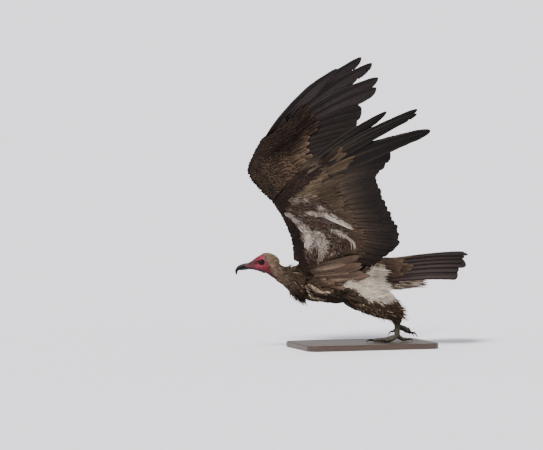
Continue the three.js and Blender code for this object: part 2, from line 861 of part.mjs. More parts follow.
function buildLeg(side) {
  const body = trunkSolid(GAP);
  add("thigh_" + side.name, largest(thigh(side).subtract(body)), "plumage");
  const leg = shank(side).subtract(thigh(side, GAP));
  add("tarsus_" + side.name, largest(leg), "scute");
  const foot = footSolids(side);
  let taken = shank(side, GAP);
  for (const name of Object.keys(TOES)) {
    const toe = foot["toe_" + name];
    add(`toe_${side.name}_${name}`, largest(aboveGround(toe(0).subtract(taken))), "scute");
    taken = taken.add(toe(GAP));
  }
  for (const name of Object.keys(TOES)) {
    const claw = foot["claw_" + name]().subtract(taken);
    add(`claw_${side.name}_${name}`, largest(aboveGround(claw)), "horn");
  }
}

add("stand_base", baseGeometry(), "stand", whole);
add("trunk", trunkSolid(), "plumage");
const bodyClear = trunkSolid(GAP);
add("tail", largest(tailPlate().subtract(bodyClear)), "flight");
const overTail = tailPlate(80, PLEAT.thick / 2 + GAP); // the tail and all above it
const legClear = thigh(LEFT, GAP).add(thigh(RIGHT, GAP));
const coverts = undertail().subtract(bodyClear).subtract(overTail).subtract(legClear);
add("undertail_coverts", largest(coverts), "down");
buildHead();
for (const side of [LEFT, RIGHT]) {
  buildWing(side);
  buildLeg(side);
}
whole.add(bird);

export default whole;
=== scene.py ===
"""A hooded vulture at the moment of take-off: the looks of a life-size museum model.

Lengths are millimetres up to the point where a mesh is made, as in the part's source.
Bird points are (back, out, up) from the mid-point between the shoulder joints.
"""

import itertools
import math

import bmesh
import bpy
import numpy as np
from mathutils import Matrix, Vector, noise
from mathutils.bvhtree import BVHTree


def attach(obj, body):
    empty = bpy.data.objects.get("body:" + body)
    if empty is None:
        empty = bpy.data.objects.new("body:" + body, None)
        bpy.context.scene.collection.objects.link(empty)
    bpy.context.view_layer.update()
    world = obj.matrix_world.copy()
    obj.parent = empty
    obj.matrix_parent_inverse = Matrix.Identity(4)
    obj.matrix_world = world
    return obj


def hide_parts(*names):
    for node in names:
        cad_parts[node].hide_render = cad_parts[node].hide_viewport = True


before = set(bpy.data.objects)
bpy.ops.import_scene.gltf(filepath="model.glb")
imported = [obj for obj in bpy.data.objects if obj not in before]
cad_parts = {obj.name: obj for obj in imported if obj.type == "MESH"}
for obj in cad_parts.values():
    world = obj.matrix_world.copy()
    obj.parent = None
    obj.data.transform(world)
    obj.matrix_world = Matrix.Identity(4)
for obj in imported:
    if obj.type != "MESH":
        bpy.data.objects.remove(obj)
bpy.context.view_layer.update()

MM = 0.001
LEFT, RIGHT = -1, 1
SIDES = {"left": LEFT, "right": RIGHT}

# ---------------------------------------------------------------- driving dimensions

SHOULDER = np.array([-170.0, 0.0, 236.0])
BANK = math.radians(18)
HEAD_TURN = math.radians(9)

EYE = {"back": -126.0, "up": 9.5, "out": 12.4, "radius": 8.6}

# [back, height, half-width, half-height] from the cere to the root of the neck
HEAD = np.array([
    [-171, -2.8, 4.6, 4.4],
    [-167, -2.6, 6.9, 6.8],
    [-159, -1.8, 9, 9],
    [-149, 0.2, 11.5, 12.5],
    [-138, 2.4, 15, 18],
    [-124, 4.6, 20.3, 24.3],
    [-111, 5.6, 23.6, 28.6],
    [-100, 3.4, 23.2, 27.6],
    [-93, -6, 22, 23.4],
    [-84, -15, 20, 20.4],
    [-72, -24, 20, 20.4],
    [-60, -29.5, 21, 21.4],
    [-48, -33, 25, 25],
])
UPPER_BILL = np.array([
    [-160, 1.8, 6.4, 5.2],
    [-167, 0.8, 6.8, 5.8],
    [-176, -1.2, 5.8, 5.5],
    [-186.5, -5.4, 4.6, 5.3],
    [-193.6, -13.5, 3, 4.3],
    [-194.6, -20, 1.9, 2.9],
    [-193.8, -26, 0.8, 1.1],
])
LOWER_BILL = np.array([
    [-148, -6, 5, 2.5],
    [-157, -7, 6, 3.2],
    [-165, -8.2, 6.1, 3.8],
    [-174, -9.6, 5, 3.4],
    [-182, -11, 3.6, 2.6],
    [-188, -12.2, 1.5, 1.4],
])

# A wing runs along a count k of its flight feathers: tertials 0-3, secondaries 4-19,
# primaries 20-29, of which the last five are fingers.
SHOULDER_K, ELBOW_K, WRIST_K, FINGERS_K, TIP_K = -3, 3.5, 19.5, 24.5, 29


def table(*rows):
    return np.array([r[0] for r in rows], float), np.array([r[1:] for r in rows], float)


JOINTS = table((-3, 0, 38, 0), (3.5, -16, 90, 135), (19.5, -146, 125, 228), (29, -102, 146, 319))
LEADING_EDGES = {
    LEFT: table(
        (-3, -26, 32, 4), (0, -54, 50, 62), (3.5, -88, 80, 135), (12, -124, 104, 188),
        (19.5, -155, 125, 231), (25, -134, 137, 276), (29, -104, 146, 322),
    ),
    RIGHT: table(
        (-3, -22, 32, 4), (0, -32, 50, 62), (3.5, -68, 80, 135), (12, -122, 104, 188),
        (19.5, -155, 125, 231), (25, -140, 137, 280), (29, -112, 146, 328),
    ),
}
INNER_TRAILING_EDGE = (
    (-3, 110, 52, 2), (0, 167, 70, 32), (3, 217, 95, 75), (6, 227, 115, 118), (12, 186, 130, 196),
)
TRAILING_EDGES = {
    LEFT: table(
        *INNER_TRAILING_EDGE,
        (18, 122, 160, 306), (22, 120, 184, 360), (24.5, 142, 198, 406), (29, 138, 197, 470),
    ),
    RIGHT: table(
        *INNER_TRAILING_EDGE,
        (18, 142, 164, 300), (22, 168, 192, 350), (24.5, 198, 209, 402), (29, 170, 203, 474),
    ),
}
FINGER_TIPS = {
    LEFT: table(
        (25, 180, 206, 441), (26, 238, 220, 468), (27, 196, 214, 513), (28, 196, 212, 526),
        (29, 117, 190, 512),
    ),
    RIGHT: table(
        (25, 238, 221, 451), (26, 240, 221, 481), (27, 214, 215, 526), (28, 176, 206, 546),
        (29, 101, 188, 517),
    ),
}
BOW = {LEFT: 0.055, RIGHT: 0.1}
DROOP = -0.03
COVERTED = (0.42, 0.3)  # the share of a flight feather under the coverts, on the arm and at the tip
ARM_THICKNESS = table((-3, 17), (0, 14), (3.5, 12), (12, 9.5), (19.5, 8), (25, 5.6), (29, 3.6))
CAMBER = 0.05
FINGER_VANES = {  # the widths of the leading and the trailing vane
    LEFT: table((25, 14, 30), (26, 24, 30), (27, 14, 17), (28, 12, 26), (29, 12, 24)),
    RIGHT: table((25, 16, 54), (26, 16, 48), (27, 14, 48), (28, 13, 46), (29, 13, 34)),
}
FINGER_NARROWS = {LEFT: (0.5, 0.5, 1.0), RIGHT: (0.45, 0.66, 0.9)}
AXILLARIES = {
    "low": np.array([[14, 52, -26], [172, 78, -8]], float),
    "high": np.array([[-4, 54, 40], [138, 95, 66]], float),
    "gathered": np.array([6, 53, 14], float),  # where the uppermost of them grow
}
TAIL = {
    "pairs": 6, "root_back": 205, "length": 272, "graduation": 44, "root_half": 36,
    "tip_half": 84, "ridge_start": 3, "ridge_rise": 31, "fall_root": 47, "fall_tip": 45,
    "swing": math.radians(4),
}

COAT_DEPTH = {"trunk": 4.0, "thigh_left": 3.5, "thigh_right": 3.5, "neck": 3.8}
ARM_DEPTH = 2.2
THROAT_EASE = 44
SKIN_VOXEL = 3.0
FOOT_VOXEL = 0.9
FOOT_PLUMP = 0.9  # what rounding takes off the thickness of the feet
CLAW_PLUMP = 0.45


def colour(code):
    """A linear colour from a six-digit sRGB code."""
    values = [int(code[i:i + 2], 16) / 255 for i in (0, 2, 4)]
    return np.array([v / 12.92 if v <= 0.04045 else ((v + 0.055) / 1.055) ** 2.4 for v in values])


BROWN_BLACK = colour("1a1512")
DARK_BROWN = colour("261d18")
MID_BROWN = colour("3c2e25")
BUFF_BROWN = colour("57463a")
PALE_FRINGE = colour("6f5d4d")
CREAM = colour("ad9a82")
WHITE_DOWN = colour("ddd3c2")
RUST = colour("53382a")
HOOD_DOWN = colour("665546")
FACE_PINK = colour("4b171e")
FACE_ROSE = colour("6c2632")
CERE = colour("4c2a30")
LID_DARK = colour("080506")
UNDER_VANE = colour("554839")
UNDER_DUSK = colour("3a3025")
VANE_DARK = colour("1a1511")
FINGER_BLACK = colour("0b0908")
UPPER_VANE = colour("1f1a19")
UPPER_SHEEN = colour("38302f")
SHAFT_PALE = colour("8b7d6c")
SHAFT_DARK = colour("17110f")
FLESH = colour("4d332c")
LEG = colour("262319")
TOE = colour("403c36")
HORN_BLACK = colour("0c0b0b")

# ---------------------------------------------------------------- small mathematics


def unit(v):
    return v / np.maximum(np.linalg.norm(v, axis=-1, keepdims=True), 1e-9)


def dot(a, b):
    return np.sum(a * b, axis=-1, keepdims=True)


def ramp(x, low, high):
    """A smooth step from 0 at low to 1 at high."""
    t = np.clip((x - low) / (high - low), 0, 1)
    return t * t * (3 - 2 * t)


def mix(a, b, t):
    return a + (b - a) * t


def hump(x, middle, width):
    return np.exp(-(((x - middle) / width) ** 2))


def turned(p, axis, angle):
    """Points turned about one of the axes."""
    p = np.asarray(p, float)
    u, v = (axis + 1) % 3, (axis + 2) % 3
    out = p.copy()
    out[..., u] = p[..., u] * math.cos(angle) - p[..., v] * math.sin(angle)
    out[..., v] = p[..., u] * math.sin(angle) + p[..., v] * math.cos(angle)
    return out


def body_point(p, side=RIGHT):
    return turned(np.asarray(p, float) * (1, side, 1), 0, BANK) + SHOULDER


def body_coords(p):
    return turned(p - SHOULDER, 0, -BANK)


def body_vector(v, side=RIGHT):
    return turned(np.asarray(v, float) * (1, side, 1), 0, BANK)


def head_point(p):
    """A (back, out, up) point in the head's level frame, in the part's frame."""
    return turned(p, 2, -HEAD_TURN) + SHOULDER


def head_coords(p):
    return turned(p - SHOULDER, 2, HEAD_TURN)


def fuzz(points, scale, seed=0.0):
    """Smooth noise of about -1 to 1 at each point, with waves about scale long."""
    shift = Vector((seed * 13.7, seed * 7.1, seed * 3.3))
    return np.array([noise.noise(Vector(p) / scale + shift) for p in points])


# ---------------------------------------------------------------- meshes


def new_object(name, vertices, quads, triangles):
    """A mesh object from arrays of points in millimetres and of vertex indices."""
    mesh = bpy.data.meshes.new(name)
    mesh.vertices.add(len(vertices))
    mesh.vertices.foreach_set("co", (vertices * MM).astype(np.float32).ravel())
    loops = np.concatenate([quads.ravel(), triangles.ravel()]).astype(np.int32)
    starts = np.concatenate([
        np.arange(len(quads)) * 4,
        len(quads) * 4 + np.arange(len(triangles)) * 3,
    ]).astype(np.int32)
    mesh.loops.add(len(loops))
    mesh.loops.foreach_set("vertex_index", loops)
    mesh.polygons.add(len(starts))
    mesh.polygons.foreach_set("loop_start", starts)
    mesh.update(calc_edges=True)
    mesh.polygons.foreach_set("use_smooth", np.ones(len(starts), bool))
    obj = bpy.data.objects.new(name, mesh)
    bpy.context.scene.collection.objects.link(obj)
    return obj


def points_of(obj):
    co = np.zeros(len(obj.data.vertices) * 3, np.float32)
    obj.data.vertices.foreach_get("co", co)
    return co.reshape(-1, 3).astype(float) / MM


def set_points(obj, points):
    obj.data.vertices.foreach_set("co", (points * MM).astype(np.float32).ravel())
    obj.data.update()


def normals_of(obj):
    n = np.zeros(len(obj.data.vertices) * 3, np.float32)
    obj.data.vertices.foreach_get("normal", n)
    return n.reshape(-1, 3).astype(float)


def paint(obj, tint):
    """A colour for each vertex."""
    layer = obj.data.color_attributes.new("tint", "FLOAT_COLOR", "POINT")
    rgba = np.ones((len(tint), 4), np.float32)
    rgba[:, :3] = np.clip(tint, 0, 1)
    layer.data.foreach_set("color", rgba.ravel())


def set_vector(obj, name, values):
    layer = obj.data.attributes.new(name, "FLOAT_VECTOR", "POINT")
    layer.data.foreach_set("vector", values.astype(np.float32).ravel())


def relax(obj, times):
    """Moves each vertex half way to the mean of its neighbours, several times."""
    edges = np.zeros(len(obj.data.edges) * 2, np.int32)
    obj.data.edges.foreach_get("vertices", edges)
    edges = edges.reshape(-1, 2)
    p = points_of(obj)
    count = np.bincount(edges.ravel(), minlength=len(p))[:, None]
    for _ in range(times):
        total = np.zeros_like(p)
        np.add.at(total, edges[:, 0], p[edges[:, 1]])
        np.add.at(total, edges[:, 1], p[edges[:, 0]])
        p += (total / np.maximum(count, 1) - p) / 2
    set_points(obj, p)


def evaluated(obj, name):
    """A new object with obj's modifiers applied; obj goes."""
    graph = bpy.context.evaluated_depsgraph_get()
    mesh = bpy.data.meshes.new_from_object(obj.evaluated_get(graph))
    made = bpy.data.objects.new(name, mesh)
    bpy.context.scene.collection.objects.link(made)
    bpy.data.objects.remove(obj)
    return made


def remeshed(obj, name, voxel):
    modifier = obj.modifiers.new("voxels", "REMESH")
    modifier.mode = "VOXEL"
    modifier.voxel_size = voxel * MM
    modifier.use_smooth_shade = True
    return evaluated(obj, name)


def copy_of(node, levels=0):
    """A free copy of a CAD node's mesh, with its vertices merged and maybe rounded."""
    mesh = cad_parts[node].data.copy()
    mesh.materials.clear()
    work = bmesh.new()
    work.from_mesh(mesh)
    bmesh.ops.remove_doubles(work, verts=work.verts, dist=1e-6)
    for face in work.faces:
        face.smooth = True
    work.to_mesh(mesh)
    work.free()
    obj = bpy.data.objects.new(node + "_copy", mesh)
    bpy.context.scene.collection.objects.link(obj)
    if levels:
        modifier = obj.modifiers.new("round", "SUBSURF")
        modifier.levels = modifier.render_levels = levels
        obj = evaluated(obj, node + "_copy")
    return obj


def joined(objects, name):
    """One object of several meshes, each without modifiers."""
    vertices, quads, triangles, start = [], [], [], 0
    for obj in objects:
        vertices.append(points_of(obj))
        for face in obj.data.polygons:
            corner = [v + start for v in face.vertices]
            if len(corner) == 4:
                quads.append(corner)
            else:
                fan = zip(corner[1:], corner[2:])
                triangles.extend([corner[0], second, third] for second, third in fan)
        start += len(vertices[-1])
        bpy.data.objects.remove(obj)
    quads = np.array(quads, int).reshape(-1, 4)
    return new_object(name, np.concatenate(vertices), quads, np.array(triangles, int).reshape(-1, 3))


def grid_solid(name, rings):
    """A closed mesh through rings of points, [ring][side], with a fan at each end."""
    count, sides = rings.shape[:2]
    index = np.arange(count * sides).reshape(count, sides)
    a, b = index[:-1], index[1:]
    quads = np.stack([a, np.roll(a, -1, 1), np.roll(b, -1, 1), b], -1).reshape(-1, 4)
    ends = np.array([count * sides, count * sides + 1])
    first, last = index[0], index[-1]
    fan0 = np.stack([np.full(sides, ends[0]), np.roll(first, -1), first], -1)
    fan1 = np.stack([np.full(sides, ends[1]), last, np.roll(last, -1)], -1)
    centres = np.stack([rings[0].mean(0), rings[-1].mean(0)])
    vertices = np.concatenate([rings.reshape(-1, 3), centres])
    triangles = np.concatenate([fan0, fan1])
    first, second, third, fourth = (vertices[quads[:, i]] for i in range(4))
    volume = np.sum(first * np.cross(second, third) + first * np.cross(third, fourth))
    if volume < 0:  # the rings run the other way round
        quads, triangles = quads[:, ::-1], triangles[:, ::-1]
    return new_object(name, vertices, quads, triangles)


def spline(rows, t):
    """A smooth line through rows, at shares t of its length."""
    step = np.concatenate([[0], np.cumsum(np.linalg.norm(np.diff(rows, axis=0), axis=1))])
    s = np.asarray(t) * step[-1]
    i = np.clip(np.searchsorted(step, s, side="right"), 1, len(rows) - 1)
    return hermite(step, rows, s, i)


def hermite(keys, rows, s, i):
    before, after = np.maximum(i - 2, 0), np.minimum(i + 1, len(rows) - 1)
    span = (keys[i] - keys[i - 1])[..., None]
    u = (s[..., None] - keys[i - 1][..., None]) / span
    rise0 = (rows[i] - rows[before]) * span / (keys[i] - keys[before])[..., None]
    rise1 = (rows[after] - rows[i - 1]) * span / (keys[after] - keys[i - 1])[..., None]
    u2, u3 = u * u, u * u * u
    return (
        rows[i - 1] * (2 * u3 - 3 * u2 + 1)
        + rise0 * (u3 - 2 * u2 + u)
        + rows[i] * (3 * u2 - 2 * u3)
        + rise1 * (u3 - u2)
    )


def loft_rings(stations, rings, sides, ease=0):
    """Rings of ellipses along a head table, as (back, out, up) points. The undersides turn with
    the line over a run of ease rings to both sides, so that they don't cross at a bend."""
    rows = spline(stations, np.linspace(0, 1, rings))
    centre = np.stack([rows[:, 0], np.zeros(rings), rows[:, 1]], -1)
    along = unit(np.gradient(centre, axis=0))
    across = np.tile([0.0, 1.0, 0.0], (rings, 1))
    up = unit(np.cross(along, across))
    up *= np.sign(up[0, 2])
    weights = np.hanning(2 * ease + 3)
    padded = np.pad(up, ((ease + 1, ease + 1), (0, 0)), mode="edge")
    eased = unit(sum(w * padded[i:i + rings] for i, w in enumerate(weights)))
    angle = 2 * np.pi * np.arange(sides) / sides
    up = np.where(np.sin(angle)[None, :, None] > 0, up[:, None], eased[:, None])
    return (
        centre[:, None]
        + across[:, None] * (rows[:, 2, None] * np.cos(angle))[..., None]
        + up * (rows[:, 3, None] * np.sin(angle))[..., None]
    )


# ---------------------------------------------------------------- the wing's surfaces


def along(rows, k):
    keys, values = rows
    k = np.asarray(k, float)
    return np.stack([np.interp(k, keys, values[:, c]) for c in range(values.shape[1])], -1)


def smooth_along(rows, k):
    keys, values = rows
    k = np.asarray(k, float)
    i = np.clip(np.searchsorted(keys, k), 1, len(keys) - 1)
    return hermite(keys, values, k, i)


def root_at(k):
    return along(JOINTS, k)


def edge_at(k, side):
    return smooth_along(TRAILING_EDGES[side], k)


def tip_at(k, side):
    """The tip of the feather k: the fingers have tips of their own."""
    free = ramp(np.asarray(k, float), 24, 25)[..., None]
    return mix(edge_at(k, side), along(FINGER_TIPS[side], k), free)


def dorsal_at(k, side):
    k = np.asarray(k, float)

    def middle(n):
        return mix(root_at(n), edge_at(n, side), 0.6)

    span = middle(np.minimum(k + 1, TIP_K)) - middle(np.maximum(k - 1, SHOULDER_K))
    return unit(np.cross(edge_at(k, side) - root_at(k), span))


def shaft_at(k, side, t, tip=None):
    """A point of the bowed shaft of the feather k, at the share t of its length."""
    k, t = np.broadcast_arrays(np.asarray(k, float), np.asarray(t, float))
    root = root_at(k)
    tip = edge_at(k, side) if tip is None else tip
    normal = dorsal_at(k, side)
    run = tip - root
    length = np.linalg.norm(run, axis=-1, keepdims=True)
    lead = unit(np.cross(normal, run))
    bow = BOW[side] * ramp(k, 10, 25)[..., None] * length
    mid = mix(root, tip, 0.5) + lead * bow + normal * DROOP * length
    t = t[..., None]
    return root * (1 - t) ** 2 + mid * 2 * t * (1 - t) + tip * t * t


def covered_share(k):
    tipwards = np.clip((np.asarray(k, float) - FINGERS_K) / (TIP_K - FINGERS_K), 0, 1)
    return mix(COVERTED[0], COVERTED[1], tipwards)


def wing_surface(side, k, x, face, lift=0.0, thin=0.0):
    """A body point on the wing: x runs from 0 at the leading edge through 1, where the arm's
    coverts end, to 2 at the feathers' tips. face is 1 for the upper side and -1 for the lower."""
    k, x, lift = np.broadcast_arrays(*(np.asarray(v, float) for v in (k, x, lift)))
    front = smooth_along(LEADING_EDGES[side], k)
    share = covered_share(k)
    back = shaft_at(k, side, share)
    chord = back - front
    run = unit(chord)
    normal = dorsal_at(k, side)
    up = unit(normal - run * dot(normal, run))
    half = along(ARM_THICKNESS, k)[..., 0] - thin
    xa = np.clip(x, 0, 1)
    profile = half * (2.5 * np.sqrt(xa) * (1 - xa) + 0.14 * xa)
    camber = CAMBER * np.linalg.norm(chord, axis=-1) * 4 * xa * (1 - xa)
    on_arm = front + chord * xa[..., None] + up * (face * (profile + lift) + camber)[..., None]
    out = np.clip(x - 1, 0, 1)
    tip = tip_at(k, side)
    outer = shaft_at(k, side, mix(share, 1, out), tip) - shaft_at(k, side, share, tip)
    height = face * (half * 0.14 * (1 - ramp(out, 0, 0.3)) + 1.6 * ramp(out, 0, 0.3) + lift)
    return np.where(x[..., None] <= 1, on_arm, back + outer + normal * height[..., None])


def tail_surface(share, place, height=0.0):
    """A body point of the tail, as in the part's source."""
    share, place, height = np.broadcast_arrays(*(np.asarray(v, float) for v in (share, place, height)))
    reach = (TAIL["length"] - TAIL["graduation"] * place**2) * share
    out = place * mix(TAIL["root_half"], TAIL["tip_half"], share)
    ridge = TAIL["ridge_start"] + TAIL["ridge_rise"] * np.sin(share * math.pi / 2)
    drop = mix(TAIL["fall_root"], TAIL["fall_tip"], share) * place**2
    turned_point = turned(np.stack([reach, out, ridge - drop + height], -1), 2, -TAIL["swing"])
    return turned_point + np.array([TAIL["root_back"], 0, 0])


# ---------------------------------------------------------------- feathers as closed blades

ROOT_DEPTH = 0.8  # how deep a feather's root is under the place that it grows from
PATCH = 0.003  # the side of a small feather's patch in the map
SPREAD = 0.6180339  # the golden ratio's part, which gives each feather a number of its own


def blade_faces(stations, places):
    """One closed blade's quads and end triangles as vertex numbers, and the place across of
    each vertex of a ring, which runs over the top and back along the under side."""
    column = np.concatenate([np.arange(places), np.arange(places - 2, 0, -1)])
    size = len(column)
    index = np.arange(stations * size).reshape(stations, size)
    a, b = index[:-1], index[1:]
    quads = np.stack([a, b, np.roll(b, -1, 1), np.roll(a, -1, 1)], -1).reshape(-1, 4)
    caps = []
    for start, way in ((0, 1), ((stations - 1) * size, -1)):
        for j in range(places - 1):
            corner = [j, j + 1, (size - j - 1) % size, (size - j) % size]
            corner = [c + start for i, c in enumerate(corner) if c not in corner[:i]]
            caps += [[corner[0], *pair][::way] for pair in zip(corner[1:], corner[2:])]
    return quads, np.array(caps), column


def blades(name, line, across, up, offsets, mid, thick, tint, under_tint, patch):
    """Closed feathers, [feather][station][place across]. Offsets, mid and thick are
    millimetres across, above and through. A patch is each feather's place in the map: its
    lowest corner, its size, and the shift of the under side's half."""
    n, stations, places = offsets.shape
    quads, caps, column = blade_faces(stations, places)
    size = len(column)
    inner = slice(places - 2, 0, -1)

    def round_ring(top, under):
        return np.concatenate([top, under[:, :, inner]], 2)

    half = thick / 2
    middle = line[:, :, None] + across[:, :, None] * offsets[..., None]
    rise = up[:, :, None]
    ring = round_ring(middle + rise * (mid + half)[..., None], middle + rise * (mid - half)[..., None])
    start = (np.arange(n) * stations * size)[:, None, None]
    all_quads, all_caps = (quads + start).reshape(-1, 4), (caps + start).reshape(-1, 3)
    obj = new_object(name, ring.reshape(-1, 3), all_quads, all_caps)
    corner, extent, shift = patch
    places_in_map = []
    for faces, below in ((quads, quads[:, :1] % size >= places - 1), (caps, 0)):
        share = np.stack([column[faces % size] / (places - 1), faces // size / (stations - 1)], -1)
        spot = corner[:, None, None] + share * extent
        spot[..., 0] += shift * below
        places_in_map.append(spot.reshape(-1, 2))
    layer = obj.data.uv_layers.new(name="OFBake")
    layer.data.foreach_set("uv", np.concatenate(places_in_map).astype(np.float32).ravel())
    paint(obj, round_ring(tint, under_tint).reshape(-1, 3))
    steps = np.linalg.norm(np.diff(line, axis=1), axis=2)
    vane = np.zeros((n, stations, size, 3))
    vane[..., 0] = round_ring(offsets, offsets)
    vane[:, 1:, :, 1] = np.cumsum(steps, 1)[:, :, None]
    vane[..., 2] = (np.arange(n) * SPREAD % 1)[:, None, None]
    set_vector(obj, "vane", vane.reshape(-1, 3))
    return obj


def cells(count):
    """Places of large feathers in a map of their own, two halves to a cell."""
    columns = math.ceil(math.sqrt(count / 4))
    rows = math.ceil(count / columns)
    number = np.arange(count)
    corner = np.stack([(number % columns) / columns, (number // columns) / rows], -1)
    return corner + 0.002, (0.46 / columns, 0.94 / rows), 0.49 / columns


def small_blades(name, line, lateral, up, half, share, tint, fringe, roots_in_map, edges, places=5,
                 cup=0.12, thick=0.35, taper=0.6, swell=1.0, shade=1.0):
    """Small feathers, each on a patch of the map at its root. Tint and fringe are colours per
    feather. Edges says where the fringe shows: (tip from, tip to), edge from, (root from,
    root to), in shares of the length, of the half-width and of the length."""
    ratio = np.linspace(-1, 1, places)
    side = np.abs(ratio)[None, None]
    offsets = half[..., None] * ratio
    mid = -cup * half[..., None] * ratio**2
    through = thick * (1 - side) ** taper * swell + np.zeros_like(offsets)
    tip, edge, root = edges
    along_it = share[None, :, None]
    at_edge = np.maximum(ramp(along_it, *tip), ramp(side, edge, 1.0) * ramp(along_it, *root))
    shown = mix(tint[:, None, None], fringe[:, None, None], at_edge[..., None]) * shade
    patch = (roots_in_map - PATCH / 2, (PATCH, PATCH), 0)
    return blades(name, line, lateral, up, offsets, mid, through, shown, shown, patch)


class Surface:
    """A skin mesh to root feathers on: nearest points, normals and map places."""

    def __init__(self, obj):
        self.points = points_of(obj)
        mesh = obj.data
        mesh.calc_loop_triangles()
        tris = np.zeros(len(mesh.loop_triangles) * 3, np.int32)
        mesh.loop_triangles.foreach_get("vertices", tris)
        loops = np.zeros(len(mesh.loop_triangles) * 3, np.int32)
        mesh.loop_triangles.foreach_get("loops", loops)
        self.tris = tris.reshape(-1, 3)
        uv = np.zeros(len(mesh.loops) * 2, np.float32)
        mesh.uv_layers["OFBake"].data.foreach_get("uv", uv)
        self.uv = uv.reshape(-1, 2)[loops.reshape(-1, 3)].mean(1)
        self.normals = normals_of(obj)
        self.tree = BVHTree.FromPolygons(self.points.tolist(), self.tris.tolist())
        first, second, third = (self.points[self.tris[:, i]] for i in range(3))
        self.areas = np.linalg.norm(np.cross(second - first, third - first), axis=1) / 2

    def nearest(self, points):
        """(places, smooth normals, triangle numbers) of the surface points nearest to these."""
        found = [self.tree.find_nearest(p) for p in points.tolist()]
        at = np.array([f[0] for f in found])
        face = np.array([f[2] for f in found])
        corners = self.points[self.tris[face]]
        weight = 1 / (np.linalg.norm(corners - at[:, None], axis=2) + 0.05)
        normal = unit(np.sum(self.normals[self.tris[face]] * weight[..., None], 1))
        return at, normal, face

    def map_at(self, points):
        return self.uv[self.nearest(points)[2]]

    def scatter(self, spacing, where, rng):
        """Places about spacing apart on the triangles whose middles where() keeps, with their
        map places. where() takes points and gives 0 to 1."""
        tries = 14  # for each square of the spacing
        middle = self.points[self.tris].mean(1)
        weight = self.areas * (where(middle) > 0.5)
        count = int(weight.sum() / spacing**2 * tries)
        face = rng.choice(len(weight), count, p=weight / weight.sum())
        share = np.sort(rng.random((count, 2)), 1)
        parts = np.stack([share[:, 0], share[:, 1] - share[:, 0], 1 - share[:, 1]], -1)
        at = np.sum(self.points[self.tris[face]] * parts[..., None], 1)
        steps = list(itertools.product((-1, 0, 1), repeat=3))
        kept, taken = [], {}
        for i, p in enumerate(at):
            key = tuple(int(v // spacing) for v in p)
            around = [tuple(a + b for a, b in zip(key, step)) for step in steps]
            near = [taken[cell] for cell in around if cell in taken]
            if all(np.sum((at[j] - p) ** 2) > (0.8 * spacing) ** 2 for j in near):
                taken[key] = i
                kept.append(i)
        return at[kept], self.uv[face[kept]]


def follow(surface, roots, heading, length, share, lift):
    """Lines that run over the surface from their roots: points, directions and normals."""
    at, normal, _ = surface.nearest(roots)
    direction = unit(heading - normal * dot(heading, normal))
    points = [at + normal * (lift[:, :1] - ROOT_DEPTH)]
    normals, directions = [normal], [direction]
    for i in range(1, len(share)):
        step = (length * (share[i] - share[i - 1]))[:, None]
        at, new, _ = surface.nearest(at + direction * step)
        normal = unit(normal + new)
        direction = unit(direction - normal * dot(direction, normal))
        points.append(at + normal * lift[:, i:i + 1])
        normals.append(normal)
        directions.append(direction)
    return (np.stack(v, 1) for v in (points, directions, normals))


def stand_off(surface, roots, heading, length, share, lift):
    """Straight lines that leave the surface at their roots: points, directions and normals."""
    at, normal, _ = surface.nearest(roots)
    way = unit(heading)[:, None] + np.zeros((1, len(share), 1))
    normal = normal[:, None] + np.zeros((1, len(share), 1))
    rise = lift - ROOT_DEPTH * (np.asarray(share) == 0)
    run = way * (length[:, None] * share)[..., None]
    return at[:, None] + run + normal * rise[..., None], way, normal


OUTLINES = {  # shares of a feather's length, and the half-widths there as shares of its widest
    "round": ([0, 0.3, 0.62, 0.86, 0.96, 1], [0.3, 0.88, 1, 0.8, 0.48, 0.08]),
    "blunt": ([0, 0.15, 0.4, 0.7, 0.9, 0.97, 1], [0.35, 0.7, 0.95, 1, 0.92, 0.62, 0.1]),
    "lance": ([0, 0.12, 0.35, 0.65, 0.86, 0.96, 1], [0.45, 0.85, 1, 0.72, 0.36, 0.16, 0.03]),
    "soft": ([0, 0.15, 0.45, 0.75, 0.92, 1], [0.4, 0.8, 1, 0.8, 0.42, 0.06]),
    "wisp": ([0, 0.3, 0.65, 1], [0.7, 1, 0.62, 0.05]),
}


COAT_FRINGE = ((0.7, 1.0), 0.7, (0.1, 0.5))
WING_FRINGE = ((0.84, 0.98), 0.6, (0.2, 0.6))
TAIL_FRINGE = ((0.75, 1.0), 0.6, (-2.0, -1.0))


def rolled(lateral, normal, direction, twist, rng):
    """Feathers' ways across and up, each feather rolled about its shaft by a random angle of
    about twist degrees."""
    angle = np.radians(twist) * rng.normal(size=(len(lateral), 1, 1))
    lateral = lateral * np.cos(angle) + normal * np.sin(angle)
    up = unit(np.cross(lateral, direction))
    return lateral, up * np.sign(dot(up, normal))


def coat(name, surface, roots, roots_in_map, heading, length, width, tip_lift, rng, tint, fringe,
         outline="round", places=3, twist=12, root_lift=0.4, thick=0.35, lines=follow):
    """Small feathers over the surface. Length, width and tip_lift have one value per feather;
    tint and fringe are colours per feather, of its middle and of its edge and tip."""
    share, wide = (np.array(v) for v in OUTLINES[outline])
    lift = root_lift + (tip_lift[:, None] - root_lift) * share[None] ** 1.6
    line, direction, normal = lines(surface, roots, heading, length, share, lift)
    across, up = rolled(np.cross(direction, normal), normal, direction, twist, rng)
    return small_blades(
        name, line, across, up, width[:, None] / 2 * wide[None], share, tint, fringe, roots_in_map,
        COAT_FRINGE, places=places, thick=thick, taper=0.7, swell=0.4 + 0.6 * wide[None, :, None],
        shade=(0.82 + 0.18 * ramp(share, 0, 0.4))[None, :, None, None],
    )


# ---------------------------------------------------------------- materials


